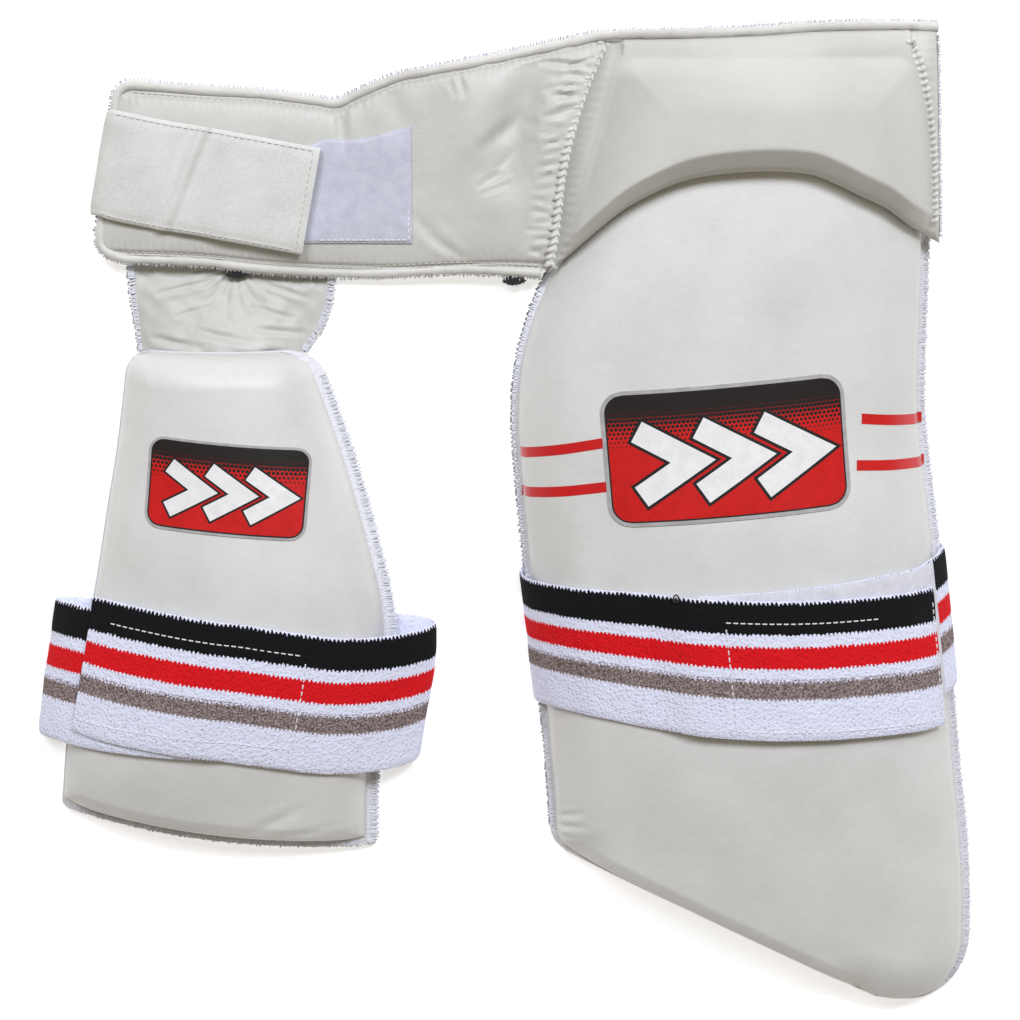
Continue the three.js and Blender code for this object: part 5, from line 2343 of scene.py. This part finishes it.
        patch = maker.slab("loop_tape", place, bunched(80, 0.5), bunched(60, 0.5))
        settle(patch, Slot.HOOK, [maker.finishes.loop], "loop_patch")
        t = np.linspace(0, 1, 120)
        corners = [(0.3, 0.03), (0.975, 0.03), (0.975, 0.3)]
        u = np.concatenate([lerp(a[0], b[0], t) for a, b in zip(corners, corners[1:])])
        v = np.concatenate([lerp(a[1], b[1], t) for a, b in zip(corners, corners[1:])])
        line = place(u, v, 1.0)
        stitches = Stitching(pitch=2.8, length=1.9, thread=0.3).sew(maker, "loop_stitches", line)
        settle(stitches, Slot.HOOK, [maker.finishes.white_thread])

    def strap_y(self, x: Array) -> Array:
        """Middle line of the fastening strap."""
        return self.strap_course.read((x - self.strap_turn) / (self.strap_end - self.strap_turn))

    def strap_line(self, v: float) -> Array:
        """Line along the fastening strap.

        Args:
            v: Place across, 0 at the lower edge and 1 at the upper.

        Returns:
            Points of the line.
        """
        half = self.strap_thick / 2
        shift = self.strap_lean * (v - 0.5)
        drop = self.strap_width * (v - 0.5)
        back = np.array([self.strap_back_end, -145, -160, -172], float)
        low = np.minimum(self.under(back) - CLEAR - half, half + 2)
        points = [spots(back + shift, self.strap_y(back) + drop, low)]
        turn = self.strap_turn + shift
        y = float(self.strap_y(np.array(turn))) + drop
        points.append(np.array([[turn + 3.4, y, 4.6], [turn, y, 9.5], [turn + 3.4, y, 14.4]]))
        front = np.concatenate([np.arange(-173, -120, 2.5), np.linspace(-118, self.strap_end, 14)])
        over = 2 * CLEAR + (self.loop_thick + CLEAR) * smooth(front, -132, -120)
        y = self.strap_y(front) + drop
        points.append(spots(front + shift, y, self.top(front + shift, y) + over + half))
        return softened(resample(np.concatenate(points), 1.0), 2)

    def fit_strap(self, maker: Maker) -> None:
        """Fits the fastening strap and its stitches.

        Args:
            maker: Mesh maker.
        """
        count = self.strap_columns
        vs = bunched(count - 1, 0.5)
        lines = [self.strap_line(v) for v in vs]
        steps = max(len(line) for line in lines)
        share = np.linspace(0, 1, steps)
        even = np.stack([read_along(share, np.linspace(0, 1, len(line)), line) for line in lines])
        way = unit(np.gradient(even, axis=1) * [1.0, 0.0, 1.0])
        out = spots(-way[..., 2], np.zeros(way.shape[:2]), way[..., 0])
        rim = np.abs(2 * vs - 1)[:, None, None]
        half = self.strap_thick / 2 * np.sqrt(np.clip(1 - rim**14, 0.04, 1))
        length = float(np.sum(np.linalg.norm(np.diff(even[count // 2], axis=0), axis=1)))
        from_end = (1 - share) * length
        bend = from_end[None] - lerp(*self.strap_kink, np.linspace(0, 1, count))[:, None]
        strength = np.linspace(0.45, 1.0, count)[:, None]
        kink = strength * (1.9 * hump(bend, 2.3) - 0.8 * hump(bend - 5.6, 2.4))
        kink = kink + 0.9 * (1 - smooth(bend, -2.0, 3.0)) - 0.7 * hump(bend + 4.6, 1.9)
        waves = Unevenness(0.14, 16.0, SEED + 31)
        along, across = np.meshgrid(share * length, vs * self.strap_width)
        wave = waves.at(along, across) * smooth(share, 0.3, 0.45)
        groove = 0.28 * hump(np.minimum(vs, 1 - vs)[:, None] * self.strap_width - 2.6, 0.8)
        groove = groove + 0.28 * hump(from_end[None] - 3.0, 0.8)
        lift = (kink - groove + np.maximum(wave, -0.15))[..., None]

        def place(u: Array, v: Array, side: float) -> Array:
            """Points of one face."""
            offset = half * side + (lift if side > 0 else np.minimum(kink[..., None] * 0.6, 1.0))
            return even + out * offset

        uv = spots(along, across)
        strap = maker.slab("waist_webbing", place, share, vs, uv)
        settle(strap, Slot.WEBBING, [maker.finishes.webbing], "waist_strap")
        upper, lower = (even[i] + out[i] * (half[i] + lift[i] + 0.1) for i in (-3, 2))
        end = even[2:-2, -4] + out[2:-2, -4] * (half[2:-2, 0] + lift[2:-2, -4] + 0.1)
        keep = slice(int(steps * 0.42), steps - 3)
        stitch = Stitching(pitch=3.0, length=2.0, thread=0.28)
        for name, line, up in (
            ("waist_stitches_upper", upper[keep], out[-3][keep]),
            ("waist_stitches_lower", lower[keep], out[2][keep]),
            ("waist_stitches_end", end, out[2:-2, -4]),
        ):
            settle(stitch.sew(maker, name, line, up), Slot.WEBBING, [maker.finishes.webbing_thread])

    def tab_point(self, u: Array, v: Array, side: float) -> Array:
        """Points of the hanging tab.

        Args:
            u: Share across.
            v: Share along.
            side: 1 for the outer face, -1 for the inner.

        Returns:
            The points.
        """
        y = lerp(self.tab_foot, self.tab_top, v)
        left, right = self.tab_rows.read(v, 1), self.tab_rows.read(v, 2)
        x = lerp(left, right, u)
        reach = np.minimum(y, self.inner.foot + self.inner.length)
        tucked = self.inner.under(x, reach) - 4 * CLEAR - self.tab_thick
        hung = np.minimum(self.under(x) - 6 * CLEAR - self.tab_thick, 2.4)
        low = np.maximum(lerp(tucked, hung, smooth(y, 80, 112)), 0.1)
        if side < 0:
            return spots(x, y, low)
        dx, dy = x - self.tab_gather[0], y - self.tab_gather[1]
        angle, far = np.arctan2(dy, dx), np.hypot(dx, dy)
        rays = np.abs(np.sin(angle * 8.5 + 0.8 * np.sin(far / 6)))
        rays = rays + 0.4 * np.abs(np.sin(angle * 17 + far / 5))
        pucker = 0.85 * (rays - 0.8) * hump(far - 10, 19) - 2.2 * smooth(y, 108.0, 118.5)
        puff = 1.6 * np.sin(np.pi * np.clip(u, 0, 1)) ** 0.6 * smooth(v, 0.0, 0.3)
        rim = smooth(np.minimum(u, 1 - u), 0.0, 0.08)
        folds = sum(crease.press(x, y) for crease in self.tab_creases)
        rough = Unevenness(0.4, 13.0, SEED + 44).at(x, y)
        high = low + self.tab_thick * 0.7 + puff * 0.7 + (pucker + folds + rough) * rim
        return spots(x, y, high)

    def hang_tab(self, maker: Maker) -> None:
        """Hangs the tab between the belt and the inner panel.

        Args:
            maker: Mesh maker.
        """
        tab = maker.slab("tab_cover", self.tab_point, bunched(120, 0.3), bunched(92, 0.3), sharp_deg=70)
        settle(tab, Slot.LEATHER, [maker.finishes.hip_and_tab_leather_painted_shade], "hanging_tab")
        v = np.linspace(0.02, 0.98, 160)
        for name, u, side in (("tab_edging_left", 0.0, Side.LEFT), ("tab_edging_right", 1.0, Side.RIGHT)):
            line = self.tab_point(np.full(160, u), v, -1.0) + np.array([0, 0, 1.3])
            line[:, 0] += 0.8 if side is Side.LEFT else -0.8
            made = Overlock(reach=1.6).wrap(maker, name, line, SEED + 41, side)
            settle(made, Slot.LINING, [maker.finishes.edging])
        for name, place in self.tacks.items():
            self.tack(maker, name, place)

    def tack(self, maker: Maker, name: str, place: tuple[float, float]) -> None:
        """Sews a dense black bar tack under the belt's lower edge.

        Args:
            maker: Mesh maker.
            name: Name of the piece.
            place: Its middle.
        """
        random = np.random.default_rng(SEED + len(name))
        count = 26
        x = place[0] + np.linspace(-5.0, 5.0, count)
        t = np.linspace(0, 1, 6)
        base = float(self.under(np.array(place[0]))) + 0.4
        paths = np.zeros((count, 6, 3))
        paths[..., 0] = x[:, None] + random.uniform(-0.5, 0.5, (count, 1)) * t
        sag = 1.4 * np.cos(np.linspace(-1.5, 1.5, count))[:, None]
        paths[..., 1] = place[1] + lerp(-1.2, 2.6, t) * sag + random.uniform(-0.4, 0.4, (count, 1))
        paths[..., 2] = base - 0.6 + 1.4 * np.sin(np.pi * t)
        settle(maker.tubes(name, paths, 0.34, 5), Slot.PIPING, [maker.finishes.black_thread])


@dataclass(frozen=True)
class Lamp:
    """A soft square light: where it hangs, its side and its power in watts."""

    name: str
    place: tuple[float, float, float]
    size: float
    power: float


@dataclass
class Studio:
    """Camera, soft lights and a plain pale floor, in metres."""

    lamps: tuple[Lamp, ...] = (
        Lamp("key_right", (0.85, 1.5, 2.05), 0.6, 44.0),
        Lamp("key_left", (-0.7, 1.5, 2.1), 0.9, 33.0),
    )
    lamp_colour: Colour = (0.87, 0.905, 1.0)
    room_colour: Colour = (1.0, 0.88, 0.68)
    room_strength: float = 0.27
    floor_half: float = 2.5
    floor_glow: float = 0.5
    target: tuple[float, float, float] = (0.0011, 0.0091, 0.020)
    distance: float = 1.1
    tilt_deg: float = 10.0
    lens: float = 86.27
    sensor: float = 36.0

    def set_camera(self) -> None:
        """Places the camera at the photograph's angle."""
        tilt = math.radians(self.tilt_deg)
        back = Vector((0, math.sin(tilt), math.cos(tilt)))
        up = Vector((0, math.cos(tilt), -math.sin(tilt)))
        eye = Vector(self.target) + back * self.distance
        data = bpy.data.cameras.new("camera")
        data.lens, data.sensor_width = self.lens, self.sensor
        camera = bpy.data.objects.new("camera", data)
        axes = Matrix((Vector((1, 0, 0)), up, back)).transposed()
        camera.matrix_world = Matrix.Translation(eye) @ axes.to_4x4()
        bpy.context.scene.collection.objects.link(camera)
        bpy.context.scene.camera = camera

    def add_light(self, lamp: Lamp) -> None:
        """Adds a light aimed at the guard.

        Args:
            lamp: The light.
        """
        data = bpy.data.lights.new(lamp.name, "AREA")
        data.energy, data.size, data.color = lamp.power, lamp.size, self.lamp_colour
        light = bpy.data.objects.new(lamp.name, data)
        light.location = lamp.place
        aim = Vector(self.target) - Vector(lamp.place)
        light.rotation_euler = aim.to_track_quat("-Z", "Y").to_euler()
        bpy.context.scene.collection.objects.link(light)

    def set_lights(self) -> None:
        """Hangs the lights and sets the surroundings."""
        world = bpy.data.worlds.new("surroundings")
        world.use_nodes = True
        background = world.node_tree.nodes["Background"]
        background.inputs[0].default_value = (*self.room_colour, 1)
        background.inputs[1].default_value = self.room_strength
        bpy.context.scene.world = world
        for lamp in self.lamps:
            self.add_light(lamp)
        bpy.context.scene.view_settings.view_transform = "Standard"

    def lay_floor(self) -> None:
        """Lays the floor."""
        data = bpy.data.meshes.new("floor")
        half = self.floor_half
        corners = [(-half, -half, 0), (half, -half, 0), (half, half, 0), (-half, half, 0)]
        data.from_pydata(corners, [], [(0, 1, 2, 3)])
        floor = bpy.data.objects.new("floor", data)
        graph = Graph("floor_paper")
        mottle = graph.noise(90.0, 2.0, 0.5)
        tone = graph.ramp(mottle, [(0.3, (0.93, 0.93, 0.93)), (0.7, (0.96, 0.96, 0.96))])
        normal = graph.bump(graph.noise(2.0, 2.0, 0.5), 0.02, 0.1)
        graph.feed(graph.shader.inputs["Emission Color"], tone)
        data.materials.append(graph.finish(tone, 0.9, normal, Emission_Strength=self.floor_glow))
        bpy.context.scene.collection.objects.link(floor)


def main() -> None:
    """Builds the whole guard in order."""
    logging.basicConfig(level=logging.INFO, format="%(message)s")
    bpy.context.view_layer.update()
    studio = Studio()
    studio.set_camera()
    maker = Maker()
    outer = OuterGuard()
    outer.build(maker)
    inner = InnerGuard()
    inner.build(maker)
    hip = HipPad(outer.panel)
    hip.build(maker)
    WaistBelt(hip, inner.panel).build(maker)
    studio.lay_floor()
    studio.set_lights()


if __name__ == "__main__":
    main()
